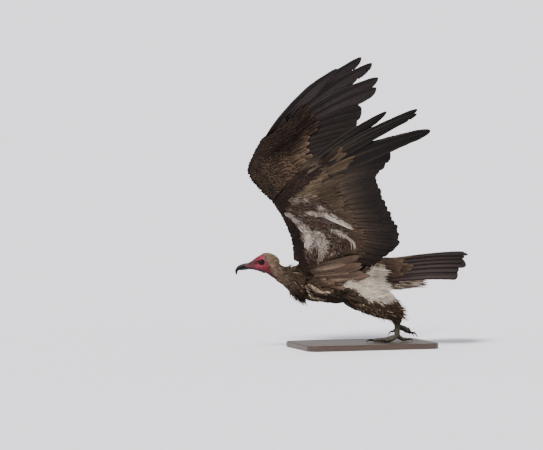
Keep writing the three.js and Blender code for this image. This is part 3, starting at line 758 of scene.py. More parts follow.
class Nodes:
    """A short way to write a node tree."""

    def __init__(self, name):
        self.material = bpy.data.materials.new(name)
        self.material.use_nodes = True
        self.tree = self.material.node_tree
        self.shader = self.tree.nodes["Principled BSDF"]

    def add(self, kind, inputs=None, **settings):
        node = self.tree.nodes.new(kind)
        for key, value in settings.items():
            setattr(node, key, value)
        for key, value in (inputs or {}).items():
            self.put(value, node.inputs[key])
        return node

    def put(self, value, socket):
        """Links a value that is a socket, and sets any other."""
        if isinstance(value, bpy.types.NodeSocket):
            self.tree.links.new(value, socket)
        else:
            socket.default_value = value

    def math(self, operation, a, b=0.0, c=0.0):
        return self.add("ShaderNodeMath", {0: a, 1: b, 2: c}, operation=operation).outputs[0]

    def attribute(self, name):
        return self.add("ShaderNodeAttribute", attribute_name=name)

    def tint(self):
        return self.attribute("tint").outputs["Color"]

    def place(self):
        return self.add("ShaderNodeTexCoord").outputs["Object"]

    def times(self, a, b):
        """The product of two colours."""
        settings = {"data_type": "RGBA", "blend_type": "MULTIPLY"}
        return self.add("ShaderNodeMix", {0: 1.0, 6: a, 7: b}, **settings).outputs[2]

    def ramp(self, value, stops):
        node = self.add("ShaderNodeValToRGB", {"Fac": value})
        ramp_ = node.color_ramp
        while len(ramp_.elements) < len(stops):
            ramp_.elements.new(0.5)
        for element, (place, shade) in zip(ramp_.elements, stops):
            element.position = place
            element.color = (shade, shade, shade, 1) if np.isscalar(shade) else (*shade, 1)
        return node.outputs["Color"]

    def noise(self, vector, scale, detail=3.0, rough=0.6):
        inputs = {"Vector": vector, "Scale": scale, "Detail": detail, "Roughness": rough}
        return self.add("ShaderNodeTexNoise", inputs).outputs["Fac"]

    def bump(self, height, strength, distance, under=None):
        inputs = {"Height": height, "Strength": strength, "Distance": distance}
        if under is not None:
            inputs["Normal"] = under
        return self.add("ShaderNodeBump", inputs).outputs["Normal"]

    def finish(self, **sockets):
        for key, value in sockets.items():
            self.put(value, self.shader.inputs[key.replace("_", " ")])
        return self.material


def feather_material(name, roughness, barb, sheen=0.0, gloss=0.06):
    """Barbs run out from the shaft at a slant: vane holds the place across, along and a number
    for each feather."""
    t = Nodes(name)
    vane = t.add("ShaderNodeSeparateXYZ", {0: t.attribute("vane").outputs["Vector"]})
    across, run, own = (vane.outputs[i] for i in range(3))
    slant = t.math("MULTIPLY_ADD", t.math("ABSOLUTE", across), -0.8, run)
    lines = t.math("SINE", t.math("MULTIPLY", slant, 2 * math.pi / barb))

    def scaled(*parts):
        products = {key: t.math("MULTIPLY", *part) for key, part in zip("XYZ", parts)}
        return t.add("ShaderNodeCombineXYZ", products).outputs[0]

    streak = t.noise(scaled((slant, 1.1 / barb), (across, 0.12), (own, 97.0)), 1.0, 4.0, 0.7)
    worn = t.noise(scaled((run, 0.07), (across, 0.1), (own, 41.0)), 1.0, 2.0)
    shade = t.ramp(streak, [(0.25, 0.62), (0.5, 0.95), (0.8, 1.3)])
    tint = t.times(t.tint(), shade)
    tint = t.times(tint, t.ramp(worn, [(0.3, 0.85), (0.7, 1.15)]))
    height = t.math("MULTIPLY_ADD", lines, 0.4, streak)
    rough = t.math("MULTIPLY_ADD", streak, 0.2, roughness - 0.1)
    return t.finish(
        Base_Color=tint, Roughness=rough, Normal=t.bump(height, 0.35, 0.0003),
        Sheen_Weight=sheen, Sheen_Roughness=0.5, Specular_IOR_Level=gloss,
    )


def skin_material():
    t = Nodes("bare_skin")
    place = t.place()
    folds = t.noise(place, 420.0, 5.0, 0.65)
    pores = t.add("ShaderNodeTexVoronoi", {"Vector": place, "Scale": 1500.0}).outputs["Distance"]
    blotch = t.noise(place, 160.0, 3.0)
    tint = t.times(t.tint(), t.ramp(blotch, [(0.3, 0.78), (0.7, 1.15)]))
    tint = t.times(tint, t.ramp(folds, [(0.35, 0.8), (0.6, 1.08)]))
    normal = t.bump(pores, 0.25, 0.0003, t.bump(folds, 0.5, 0.0008))
    rough = t.math("MULTIPLY_ADD", blotch, 0.25, 0.42)
    return t.finish(
        Base_Color=tint, Roughness=rough, Normal=normal, Subsurface_Weight=0.08,
        Subsurface_Radius=(0.004, 0.0015, 0.001), Specular_IOR_Level=0.1,
    )


def horn_material():
    t = Nodes("horn")
    place = t.place()
    grain = t.noise(place, 300.0, 4.0)
    tint = t.times(t.tint(), t.ramp(grain, [(0.3, 0.8), (0.7, 1.25)]))
    return t.finish(
        Base_Color=tint, Roughness=t.math("MULTIPLY_ADD", grain, 0.3, 0.3),
        Normal=t.bump(grain, 0.2, 0.0004), Specular_IOR_Level=0.13,
    )


def eye_material():
    t = Nodes("eye_surface")
    place = t.place()
    fibres = t.noise(place, 900.0, 4.0)
    tint = t.times(t.tint(), t.ramp(fibres, [(0.3, 0.6), (0.7, 1.4)]))
    return t.finish(Base_Color=tint, Roughness=0.12, Specular_IOR_Level=0.1)


def wood_material():
    t = Nodes("stained_wood")
    place = t.place()
    stretched = t.add("ShaderNodeMapping", {"Vector": place, "Scale": (1.2, 14.0, 14.0)}).outputs[0]
    bands = t.noise(stretched, 5.0, 4.0, 0.55)
    fibres = t.add("ShaderNodeMapping", {"Vector": place, "Scale": (10, 260, 260)}).outputs[0]
    fine = t.noise(fibres, 3.0, 3.0)
    shades = ((0.3, "2b2019"), (0.5, "3d2d22"), (0.62, "31241c"), (0.8, "48362a"))
    tone = t.ramp(bands, [(stop, colour(code)) for stop, code in shades])
    tone = t.times(tone, t.ramp(fine, [(0.35, 0.7), (0.6, 1.1)]))
    return t.finish(
        Base_Color=tone, Roughness=t.math("MULTIPLY_ADD", fine, 0.25, 0.32),
        Normal=t.bump(fine, 0.15, 0.0003), Coat_Weight=0.15, Coat_Roughness=0.3,
    )


MATERIALS = {
    "contour": feather_material("contour_feathers", 0.66, 0.55),
    "flight": feather_material("flight_feathers", 0.5, 0.8, gloss=0.09),
    "down": feather_material("down_feathers", 0.85, 0.5, sheen=0.06, gloss=0.04),
    "skin": skin_material(),
    "horn": horn_material(),
    "eye": eye_material(),
    "wood": wood_material(),
}


def dress(obj, material, slot, *nodes):
    """Gives a piece its material and body, and hides the CAD nodes that it stands for; slot is not used."""
    obj.data.materials.clear()
    obj.data.materials.append(MATERIALS[material])
    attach(obj, "root")
    if nodes:
        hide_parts(*nodes)
    return obj


# ---------------------------------------------------------------- colours by region


FACE_EDGE = (  # heights, and how far back the bare face reaches there
    [-46, -41, -36, -30, -24, -11, 0, 13, 28, 40],
    [-100, -86, -80, -88, -95, -101.5, -108, -114.6, -120, -123],
)


JAW_LINE = ([-165, -139, -115, -104, -87, -75], [-4, -9, -13.5, -19, -30.5, -40])


def behind_face(q):
    """How far head points lie behind the ragged edge of the bare face."""
    return q[:, 0] - np.interp(q[:, 2], *FACE_EDGE) + 1.6 * fuzz(q, 4.5, 21)


def face_share(q):
    """1 on the bare face and throat, 0 on the hood, at head points (back, out, up)."""
    return 1 - ramp(behind_face(q), -1.2, 1.2)


def head_tint(q):
    """The colours of the bare head at head points."""
    back, out, up = q[:, 0], np.abs(q[:, 1]), q[:, 2]
    mottle = fuzz(q, 9, 1)[:, None]
    fine = fuzz(q, 3, 6)[:, None]
    tint = mix(FACE_PINK, FACE_ROSE, np.clip(0.5 + 0.8 * mottle + 0.4 * fine, 0, 1))
    tint = mix(tint, colour("93384f"), 0.6 * (hump(back, -118, 12) * hump(up, 21, 6))[:, None])
    tint = mix(tint, colour("8d4454"), 0.4 * (hump(back, -134, 11) * hump(up, -1, 5))[:, None])
    tint = mix(tint, colour("4f231c"), 0.6 * (hump(back, -106, 9) * ramp(-up, -4, 12))[:, None])
    tint = mix(tint, CERE, ramp(-back, 138, 156)[:, None])
    culmen = ramp(-back, 142, 162) * ramp(up, 1, 5)
    tint = mix(tint, colour("241a1b"), 0.7 * culmen[:, None])
    eye_distance = np.hypot(back - EYE["back"], up - EYE["up"])
    ring = (1 - ramp(eye_distance, 7.6, 9.2)) * (out > 6)
    tint = mix(tint, LID_DARK, 0.97 * ring[:, None])
    crease = up - (10.5 + (back + 136) * 0.35) + 1.2 * fine[:, 0]
    lore = hump(crease, 0, 3.2) * ramp(-back, 130, 134) * (1 - ramp(-back, 143, 156))
    tint = mix(tint, mix(LID_DARK, RUST, 0.08), 0.88 * lore[:, None])
    # Painted shade under the jaw: the skin below the jaw line is darkened.
    jaw = np.interp(back, *JAW_LINE) - up
    tint = mix(tint, colour("1b1011"), 0.85 * ramp(jaw + 0.8 * fine[:, 0], -0.5, 2.5)[:, None])
    face = face_share(q)[:, None]
    tint = mix(mix(HOOD_DOWN, FLESH, 0.35), tint, face)
    return mix(tint, colour("2b1c15"), 0.6 * hump(face, 0.45, 0.35))


def hood_tint(q, rng):
    """The down of crown, nape and hind neck."""
    streak = fuzz(q * np.array([0.35, 1, 1]), 2.6, 4)[:, None]
    patch = fuzz(q * np.array([0.6, 1, 1]), 6.5, 5)[:, None]
    tint = mix(HOOD_DOWN, CREAM, np.clip(0.1 + 0.5 * streak + 0.9 * patch, 0, 0.85))
    tint = mix(tint, DARK_BROWN, np.clip(-0.05 - 0.7 * streak - 1.5 * patch, 0, 0.85))
    tint = mix(tint, DARK_BROWN, 0.8 * (1 - ramp(behind_face(q), 2.5, 7.5))[:, None])
    crown = hump(q[:, 0], -108, 16)[:, None] * ramp(q[:, 2], 22, 32)[:, None]
    tint = mix(tint, CREAM, 0.25 * crown)
    neck = ramp(q[:, 0], -92, -62)[:, None]
    tint = mix(tint, MID_BROWN, 0.6 * neck) * mix(0.92, 0.68, neck)
    return tint * (0.8 + 0.4 * rng.random((len(q), 1)))


WHITE_FLANK = [  # the outline of the white patch before the tail's root: (back, up)
    (84, -36), (119, -46), (140, -62), (166, -75), (196, -80), (246, -80), (254, -66), (236, -46),
    (226, -28), (230, -12), (216, -1), (184, 5), (168, -8), (124, -24),
]
CREAM_STREAKS = [  # down the side of the breast: two ends (back, up)
    ((-19, -44), (-6, -73)), ((-6, -73), (30, -83)), ((-9, -40), (18, -57)), ((18, -57), (32, -55)),
]


def inside(outline, x, y):
    """How far each place is inside a closed outline, negative outside."""
    within = np.zeros(len(x), bool)
    nearest = np.full(len(x), 1e9)
    for (x0, y0), (x1, y1) in zip(outline, outline[1:] + outline[:1]):
        crosses = (y0 > y) != (y1 > y)
        within ^= crosses & (x < x0 + (y - y0) * (x1 - x0) / (y1 - y0 + 1e-9))
        nearest = np.minimum(nearest, to_segment(x, y, (x0, y0), (x1, y1)))
    return np.where(within, nearest, -nearest)


def on_segment(x, y, start, end):
    """The share along a segment of the place nearest to each point, and the distance to it."""
    a, b = np.array(start, float), np.array(end, float)
    at = np.stack([x, y], -1)
    share = np.clip((at - a) @ (b - a) / np.sum((b - a) ** 2), 0, 1)
    return share, np.linalg.norm(at - (a + share[:, None] * (b - a)), axis=1)


def to_segment(x, y, start, end):
    return on_segment(x, y, start, end)[1]


def flank_share(b):
    """1 in the white downy patch before the tail's root, at body points (back, lateral, up)."""
    ragged = 6 * fuzz(b, 17, 7)
    return ramp(inside(WHITE_FLANK, b[:, 0], b[:, 2]) + ragged, -3, 5)


def trunk_tint(b, rng):
    """Middle and fringe colours of the body's feathers at body points."""
    back, out, up = b[:, 0:1], np.abs(b[:, 1:2]), b[:, 2:3]
    wave = fuzz(b * np.array([0.5, 1, 1]), 12, 2)[:, None]
    fine = fuzz(b * np.array([0.6, 1, 1]), 5, 3)[:, None]
    tint = mix(DARK_BROWN, MID_BROWN, np.clip(0.45 + 0.9 * wave + 0.3 * fine, 0, 1))
    side = hump(up, -8, 26) * hump(back, 40, 60)
    tint = mix(tint, BUFF_BROWN, np.clip(side * (0.25 + 0.6 * fine), 0, 1))
    low = 1 - ramp(up, -70, -44)
    front = 1 - ramp(back, 100, 160)
    tint = mix(tint, BROWN_BLACK, np.clip(low * front * 0.85, 0, 1)) * mix(1, 0.72, ramp(-up, 8, 42))
    fringe = mix(tint, PALE_FRINGE, (0.25 + 0.25 * np.clip(fine, 0, 1)) * mix(1, 0.6, low))
    speck = ramp(back, 110, 135) * (1 - ramp(back, 190, 220)) * (fine > 0.25)
    fringe = mix(fringe, CREAM, 0.9 * low * speck)
    gaps = [to_segment(b[:, 0], b[:, 2], *ends) for ends in CREAM_STREAKS]
    crop = (hump(np.min(gaps, 0), 0, 3.4)[:, None]) * (out > 14)
    tint = mix(tint, CREAM, np.clip(crop * (0.75 + 0.5 * fine), 0, 1))
    fringe = mix(fringe, CREAM, np.clip(crop, 0, 1))
    white = flank_share(b)[:, None]
    # Buff mottling in the white down, more of it towards the bottom.
    lower = ramp(-b[:, 2:3] - 0.2 * b[:, 0:1], 20, 42)
    buff_mottle = np.clip(1.5 * fuzz(b, 16, 24)[:, None] + 0.9 * fine - 0.15 + 0.35 * lower, 0, 0.85)
    down = mix(WHITE_DOWN, mix(CREAM, BUFF_BROWN, 0.35 + 0.4 * (fine > 0.4)), buff_mottle)
    tint = mix(tint, down, white)
    fringe = mix(fringe, mix(down, WHITE_DOWN, 0.5), white)
    jitter = 0.8 + 0.4 * rng.random((len(b), 1))
    return tint * mix(jitter, 1, 0.6 * white), fringe * mix(jitter, 1, 0.6 * white)


# ---------------------------------------------------------------- the skin


def arm_solid(side):
    """The arm's flesh as one aerofoil from the shoulder to the tip of the hand."""
    k = np.concatenate([np.linspace(SHOULDER_K, WRIST_K, 30), np.linspace(20, TIP_K - 0.6, 14)])
    angle = 2 * np.pi * (np.arange(28) + 0.5) / 28
    x = (1 - np.cos(angle)) / 2
    face = np.sign(np.sin(angle))
    grid = [wing_surface(side, np.full(28, kk), 0.05 + 0.86 * x, face, 0.0, ARM_DEPTH) for kk in k]
    return grid_solid("arm", body_point(np.array(grid), side))


def shrunk(node, depth):
    obj = copy_of(node)
    set_points(obj, points_of(obj) - normals_of(obj) * depth)
    return obj


def slimmed(node, share):
    obj = copy_of(node)
    p = points_of(obj)
    centre = p.mean(0)
    set_points(obj, centre + (p - centre) * np.array(share))
    return obj


def body_skin():
    sources = [shrunk(node, depth) for node, depth in COAT_DEPTH.items()]
    sources.append(slimmed("undertail_coverts", (0.94, 0.8, 0.92)))
    sources += [arm_solid(side) for side in SIDES.values()]
    sources += [copy_of("tarsus_" + name, 1) for name in SIDES]
    made = remeshed(joined(sources, "skin_parts"), "body_skin", SKIN_VOXEL)
    relax(made, 7)
    p = points_of(made)
    b = body_coords(p)
    groin = 9.5 * hump(b[:, 0], 108, 36) * ramp(-b[:, 2], 44, 70)  # loose skin before the thighs
    set_points(made, p + normals_of(made) * groin[:, None])
    return made


CREASES = [  # ridges and creases of the face: two ends (back, up), width and height
    ((-139, 13.5), (-114, 19.5), 2.6, 1.5),  # brow
    ((-166, -5.6), (-140, -9.5), 0.9, -1.2),  # gape
    ((-140, -9.5), (-128, -9.0), 1.1, -0.7),
    ((-150, -13), (-118, -20), 1.3, -0.5),
    ((-152, 7), (-136, 11), 1.2, -0.5),
    ((-114, -2), (-106, -14), 1.4, -0.6),
    ((-118, -7), (-110, -19), 1.2, -0.5),
    ((-110, 6), (-104, -2), 1.3, -0.5),
    ((-160, 2.6), (-154, 3.2), 0.9, -1.5),  # nostril
    ((-161, 4.6), (-153, 5.4), 0.9, 0.5),
]
EAR = (-103.5, -4.5)
TOES = ("inner", "middle", "outer", "hind")


def head_relief(q):
    """How far the skin stands out at head points, in millimetres."""
    back, up = q[:, 0], q[:, 2]
    rise = np.zeros(len(q))
    for start, end, width, height in CREASES:
        share, distance = on_segment(back, up, start, end)
        taper = 0.4 + 0.6 * np.sin(np.pi * np.clip(share, 0.08, 0.92))
        rise += height * taper * np.exp(-((distance / width) ** 2))
    ear = np.hypot(back - EAR[0], (up - EAR[1]) * 0.8)
    rise += 0.9 * hump(ear, 3.9, 1.2) - 3.2 * np.exp(-((ear / 2.2) ** 2))
    face = face_share(q)
    rise += face * 0.45 * fuzz(q * np.array([1, 1, 1.6]), 5.5, 11)
    rise += face * 0.22 * fuzz(q, 2.1, 12)
    throat = ramp(back, -120, -96) * ramp(-up, 8, 20)
    folds = np.sin((up + 0.7 * back) * 1.15 + 1.5 * fuzz(q, 12, 13))
    rise += throat * 0.75 * folds
    return rise


def eye_frame(side):
    """An eye's middle and the way that it looks, in the head's frame."""
    return np.array([EYE["back"], side * EYE["out"], EYE["up"]]), unit(np.array([-0.22, side, 0.08]))


def head_shell():
    """The finely divided skin of head and upper neck, with lids round the eyes."""
    rings, sides = 190, 150
    q = loft_rings(HEAD, rings, sides, THROAT_EASE)
    centre = np.repeat(q.mean(1), sides, 0)
    q = q.reshape(-1, 3)
    normal = unit(q - centre)
    cheek = 0.9 * hump(q[:, 0], -112, 14) * hump(q[:, 2], -8, 10)
    q = q + normal * (cheek + head_relief(q))[:, None]
    for side in SIDES.values():
        middle, gaze = eye_frame(side)
        offset = q - middle
        distance = np.linalg.norm(offset, axis=1)
        angle = np.degrees(np.arccos(np.clip(unit(offset) @ gaze, -1, 1)))
        tall = np.abs(offset[:, 2]) / np.maximum(distance, 1e-6)
        opening = 44 - 5 * tall
        near = (angle < 100) & (distance < 26) & (np.sign(q[:, 1]) == side)
        rim = EYE["radius"] + 0.35 + 0.9 * hump(angle, opening + 7, 6)
        socket = 1 - ramp(angle, opening + 9, opening + 34)
        lid = np.maximum(rim, mix(distance, rim, socket))
        reach = mix(EYE["radius"] - 1.4, lid, ramp(angle, opening - 4, opening + 3))
        q = np.where(near[:, None], middle + unit(offset) * reach[:, None], q)
    return grid_solid("head_shell", head_point(q.reshape(rings, sides, 3)))


def foot_shell(name):
    """A foot's skin in one piece, with its scales raised."""
    nodes = ["tarsus_" + name] + [f"toe_{name}_{toe}" for toe in TOES]
    axes = []
    for node in nodes:
        p = np.array([v.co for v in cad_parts[node].data.vertices]) / MM
        centre = p.mean(0)
        axis = np.linalg.svd(p - centre)[2][0]
        axes.append((centre, axis, np.abs((p - centre) @ axis).max()))
    made = remeshed(joined([copy_of(node, 2) for node in nodes], "foot_parts"), "foot", FOOT_VOXEL)
    relax(made, 5)
    p, n = points_of(made), normals_of(made)
    shares = []
    for centre, axis, reach in axes:
        run = np.clip((p - centre) @ axis, -reach, reach)
        shares.append((np.linalg.norm(p - centre - run[:, None] * axis, axis=1), run))
    nearest = np.argmin([s[0] for s in shares], 0)
    run = np.choose(nearest, [s[1] for s in shares])
    period = np.where(nearest == 0, 4.6, 3.3)
    facing = np.where(nearest == 0, -n[:, 0], n[:, 2])
    plate = (run / period) % 1
    plates = 0.55 * (1 - np.abs(2 * plate - 1) ** 6) - 0.35
    cells_ = np.array([noise.cell_vector(Vector(v)) for v in (p / 2.2)])
    distance = np.array([noise.voronoi(Vector(v))[0][:2] for v in (p / 2.1)])
    round_scales = 0.4 * ramp(distance[:, 1] - distance[:, 0], 0.05, 0.35) - 0.2
    on_top = ramp(facing, 0.05, 0.45)
    rise = mix(round_scales, plates, on_top)
    set_points(made, p + n * (rise + FOOT_PLUMP)[:, None])
    return made, 0.5 + 0.5 * cells_[:, 0], rise


def map_by_angle(obj, margin=0.01):
    """A map made of the patches of faces that look about the same way."""
    bpy.context.view_layer.objects.active = obj
    obj.select_set(True)
    bpy.ops.object.mode_set(mode="EDIT")
    bpy.ops.mesh.select_all(action="SELECT")
    bpy.ops.uv.smart_project(angle_limit=math.radians(70), island_margin=margin)
    bpy.ops.object.mode_set(mode="OBJECT")
    obj.select_set(False)
    obj.data.uv_layers[0].name = "OFBake"


def foot_tint(p, shade, rise):
    """Grey toes and darker shanks; the grooves between the scales are darkened by their depth as painted
    shade, and the raised scales are a little lighter.
    """
    base = mix(LEG, TOE, ramp(-p[:, 2], -75, -40)[:, None])
    return base * (0.8 + 0.35 * shade[:, None]) * mix(0.45, 1.1, ramp(rise, -0.25, 0.1))[:, None]


def build_skin():
    """The bare skin of the whole bird, which also carries the coats."""
    body, head = body_skin(), head_shell()
    feet = [foot_shell(name) for name in SIDES]
    parts = [body, head] + [foot[0] for foot in feet]
    ends = np.cumsum([len(part.data.vertices) for part in parts])
    skin = joined(parts, "skin")
    body_points, head_points, *feet_points = np.split(points_of(skin), ends[:-1])
    body_tint, _ = trunk_tint(body_coords(body_points), np.random.default_rng(1))
    # The skin under the coat takes the body's feather colours darkened by a quarter: painted shade for the
    # gaps between the feathers.
    tints = [body_tint * 0.75, head_tint(head_coords(head_points))]
    tints += [foot_tint(p, *foot[1:]) for p, foot in zip(feet_points, feet)]
    paint(skin, np.concatenate(tints))
    map_by_angle(skin, 0.002)
    flesh = list(COAT_DEPTH) + ["head"]
    for side_name in SIDES:
        flesh += [f"wing_{side_name}_{part}" for part in ("upper_arm", "forearm", "hand")]
        flesh += ["tarsus_" + side_name] + [f"toe_{side_name}_{toe}" for toe in TOES]
    dress(skin, "skin", "face", *flesh)
    return skin


# ---------------------------------------------------------------- bill, eyes and claws


def build_bill():
    count, sides = 60, 48
    for name, stations in (("upper", UPPER_BILL), ("lower", LOWER_BILL)):
        rings = loft_rings(stations, count, sides)
        centre = rings.mean(1, keepdims=True)
        offset = rings - centre
        along_bill = np.linspace(0, 1, count)[:, None, None]
        if name == "upper":  # a narrow ridge above, and sides that fall steeply to a sharp edge
            high = np.clip(offset[..., 2:3] / 6, -1, 1)
            squeeze = 1 - 0.34 * np.clip(high, 0, 1) * (1 - 0.5 * along_bill)
            offset[..., 1:2] *= squeeze
        made = grid_solid("beak_" + name, head_point(centre + offset))
        p = points_of(made)
        q = head_coords(p)
        dark = ramp(-q[:, 0] - 0.5 * q[:, 2], 166, 175)[:, None]
        tint = mix(CERE, HORN_BLACK, dark)
        if name == "lower":
            tint = mix(colour("190f11"), HORN_BLACK, dark)
        paint(made, tint)
        map_by_angle(made)
        dress(made, "horn", "horn", "bill_" + name)


def build_eyes():
    for name, side in SIDES.items():
        middle, gaze = eye_frame(side)
        rings, sides = 40, 48
        tilt = np.linspace(0.02, math.pi - 0.02, rings)
        angle = 2 * np.pi * np.arange(sides) / sides
        first = unit(np.cross(gaze, [0, 0, 1.0]))
        second = np.cross(gaze, first)
        ring = first * np.cos(angle)[:, None] + second * np.sin(angle)[:, None]
        cornea = 0.5 * np.exp(-((tilt / 0.5) ** 2))
        radius = (EYE["radius"] - 0.35 + cornea)[:, None, None]
        forward, sideways = np.cos(tilt)[:, None, None], np.sin(tilt)[:, None, None]
        q = middle + radius * (gaze * forward + ring[None] * sideways)
        made = grid_solid("eyeball_" + name, head_point(q))
        p = head_coords(points_of(made)) - middle
        off_axis = np.degrees(np.arccos(np.clip(unit(p) @ gaze, -1, 1)))[:, None]
        tint = mix(colour("030303"), colour("150c08"), ramp(off_axis, 15, 18))
        tint = mix(tint, colour("060404"), ramp(off_axis, 32, 38))
        paint(made, tint)
        map_by_angle(made)
        dress(made, "eye", "eye", "eye_" + name)


def build_claws():
    for name in SIDES:
        for toe in TOES:
            node = f"claw_{name}_{toe}"
            made = copy_of(node, 2)
            made.name = f"talon_{name}_{toe}"
            made.data.name = made.name
            set_points(made, points_of(made) + normals_of(made) * CLAW_PLUMP)
            paint(made, np.tile(HORN_BLACK * 1.3, (len(made.data.vertices), 1)))
            map_by_angle(made)
            dress(made, "horn", "horn", node)


# ---------------------------------------------------------------- flight feathers


def vane_stations(count, rng, n):
    """Shares along each feather, with close pairs where the vane is split."""
    base = np.sin(np.linspace(0, 1, count) * math.pi / 2) ** 0.85
    splits = 0.72 + 0.24 * rng.random((n, 2))
    fine = np.array([-0.006, -0.002, 0.002])
    extra = (splits[:, :, None] + fine).reshape(n, -1)
    stations = np.sort(np.concatenate([np.tile(base, (n, 1)), extra], 1), 1)
    notch = np.min(np.abs(stations[:, :, None] - splits[:, None, :]), 2)
    return np.clip(stations, 0, 1), notch


def vane_shape(stations, notch, lead, trail, blunt, rng):
    """Half-widths of both vanes along a feather, with a rounded tip and worn notches."""
    tip = np.sqrt(np.clip(1 - (np.clip(stations - blunt, 0, 1) / (1 - blunt)) ** 2, 0.004, 1))
    depth = rng.uniform(0.0, 0.3, (len(stations), 1)) * (rng.random((len(stations), 1)) < 0.6)
    worn = 1 - depth * (notch < 0.003)
    wave = 1 + 0.02 * np.sin(stations * rng.uniform(25, 60, (len(stations), 1)))
    return lead * tip * wave, trail * tip * worn * wave


VANE_PLACES = 9  # the vertices across the upper side of a large feather


def big_blades(name, line, dorsal, lead_way, lead, trail, stations, shades, tilt=0.06, rachis=1.3):
    """Large feathers: dorsal and lead_way are the ways up and to the leading side, lead and
    trail the half-widths there, shades the colours (top, under, shaft above, shaft below)."""
    direction = unit(np.gradient(line, axis=1))
    across = unit(lead_way - direction * dot(lead_way, direction))
    up = unit(np.cross(direction, across))
    up *= np.sign(dot(up, dorsal))
    quill = rachis * (1.15 - stations) + 0.18
    offsets = np.stack([
        -trail, -0.72 * trail, -0.42 * trail, -quill - 0.12 * trail, -quill * 0.5, quill * 0.5,
        quill + 0.15 * lead, 0.6 * lead, lead,
    ], -1)
    offsets = np.sort(offsets, -1)
    size = np.maximum(trail, lead)[..., None]
    mid = tilt * offsets - 0.025 * np.abs(offsets) ** 2 / np.maximum(size, 1)
    thick = np.zeros_like(offsets) + np.array([0, 0.4, 0.45, 0.5, 1, 1, 0.5, 0.4, 0])
    on_quill = np.array([0, 0, 0, 0, 1, 1, 0, 0, 0])
    thick = thick * np.where(on_quill, (quill * 1.25)[..., None], 1)
    top_tint, under_tint, shaft_top, shaft_under = shades
    shaft = on_quill[None, None, :, None]
    whole = np.zeros((*offsets.shape, 3))
    top = mix(top_tint, shaft_top, shaft) + whole
    under = mix(under_tint, shaft_under, shaft) + whole
    return blades(name, line, across, up, offsets, mid, thick, top, under, cells(len(line)))


def wing_feather_colours(k, t):
    """Top and under colours of flight feathers: dark above with a sheen on the trailing vane,
    and pale olive below on the inner wing, darkening to the trailing edge."""
    k = np.asarray(k, float)[:, None, None, None]
    s = t[:, :, None, None]
    place = np.linspace(-1, 1, VANE_PLACES)[None, None, :, None]
    outer = ramp(k, 22, 25.5)
    own = 0.82 + 0.36 * ((k * 0.754877) % 1)
    inner = 1 - ramp(k, 5, 13)
    under = mix(UNDER_VANE, UNDER_DUSK, ramp(s, 0.45, 0.8))
    under = mix(under, VANE_DARK, ramp(s, 0.62, 0.94))
    # Painted shadow: the leading vane of each feather's under side darkens where the neighbouring feather
    # overlaps it.
    under = mix(under, VANE_DARK, (0.35 + 0.5 * ((k * 0.5698) % 1)) * ramp(place, -0.1, 0.8))
    under = mix(under, mix(MID_BROWN, VANE_DARK, ramp(s, 0.5, 0.9)), 0.6 * inner)
    under = mix(under, FINGER_BLACK, 0.95 * outer * ramp(s, 0.04, 0.3))
    top = mix(UPPER_VANE, UPPER_SHEEN, 0.75 * (1 - ramp(place, -0.5, 0.5)))
    top = mix(top, BROWN_BLACK, 0.7 * ramp(s, 0.6, 1))
    top = mix(top, mix(MID_BROWN, DARK_BROWN, ramp(s, 0.5, 1)), 0.6 * (1 - ramp(k, 2, 12)))
    top = mix(top, BUFF_BROWN, 0.7 * hump(k, 20.2, 1.1) * (1 - ramp(s, 0.4, 0.7)))
    shaft_under = mix(mix(SHAFT_PALE, UNDER_DUSK, 0.7), VANE_DARK, ramp(s, 0.35, 0.8))
    shaft_under = mix(shaft_under, VANE_DARK, 0.85 * outer)
    return top * own, under * own, SHAFT_DARK, shaft_under


FLIGHT_PARTS = {"tertials": range(0, 4), "secondaries": range(4, 20), "primaries": range(20, 30)}


def build_flight_feathers(side_name):
    side = SIDES[side_name]
    narrow_by, narrow_from, narrow_to = FINGER_NARROWS[side]
    for part, members in FLIGHT_PARTS.items():
        k = np.array(list(members), float)
        rng = np.random.default_rng(100 + len(k) + side)
        share, notch = vane_stations(30, rng, len(k))
        start = np.select([k == TIP_K, k > FINGERS_K], [0.03, 0.25], 0.31)[:, None]
        t = mix(start, 1, share)
        finger = (k > FINGERS_K)[:, None]
        tips = np.where(finger, along(FINGER_TIPS[side], np.clip(k, 25, 29)), edge_at(k, side))
        uneven = np.where(finger, 0.0, 2.4 * rng.normal(size=(len(k), 1)) * (k < 22)[:, None])
        tips = tips + unit(tips - root_at(k)) * uneven
        tips = tips[:, None] + np.zeros((1, t.shape[1], 1))
        line = shaft_at(k[:, None], side, t, tips)
        step = shaft_at(k[:, None] + 0.5, side, t) - shaft_at(k[:, None] - 0.5, side, t)
        spacing = np.linalg.norm(step, axis=-1)
        vanes = along(FINGER_VANES[side], np.clip(k, 25, 29))[:, None]
        whole = np.minimum(1, 0.75 + 1.5 * t) * (1 - narrow_by * ramp(t, narrow_from, narrow_to))
        lead = np.where(finger, vanes[..., 0] * whole, 0.62 * spacing + 1.0)
        trail = np.where(finger, vanes[..., 1] * whole, 1.3 * spacing + 1.5)
        blunt = np.where(k > FINGERS_K, 0.84, 0.925)[:, None]
        lead, trail = vane_shape(share, notch, lead, trail, blunt, rng)
        dorsal = dorsal_at(k, side)[:, None] + np.zeros((1, t.shape[1], 1))
        lead_way = np.cross(dorsal, np.gradient(line, axis=1))
        made = big_blades(
            f"vanes_{side_name}_{part}", body_point(line, side), body_vector(dorsal, side),
            body_vector(lead_way, side), lead, trail, share, wing_feather_colours(k, t),
            rachis=1.0 if part != "primaries" else 1.3,
        )
        dress(made, "flight", "flight", f"wing_{side_name}_{part}")


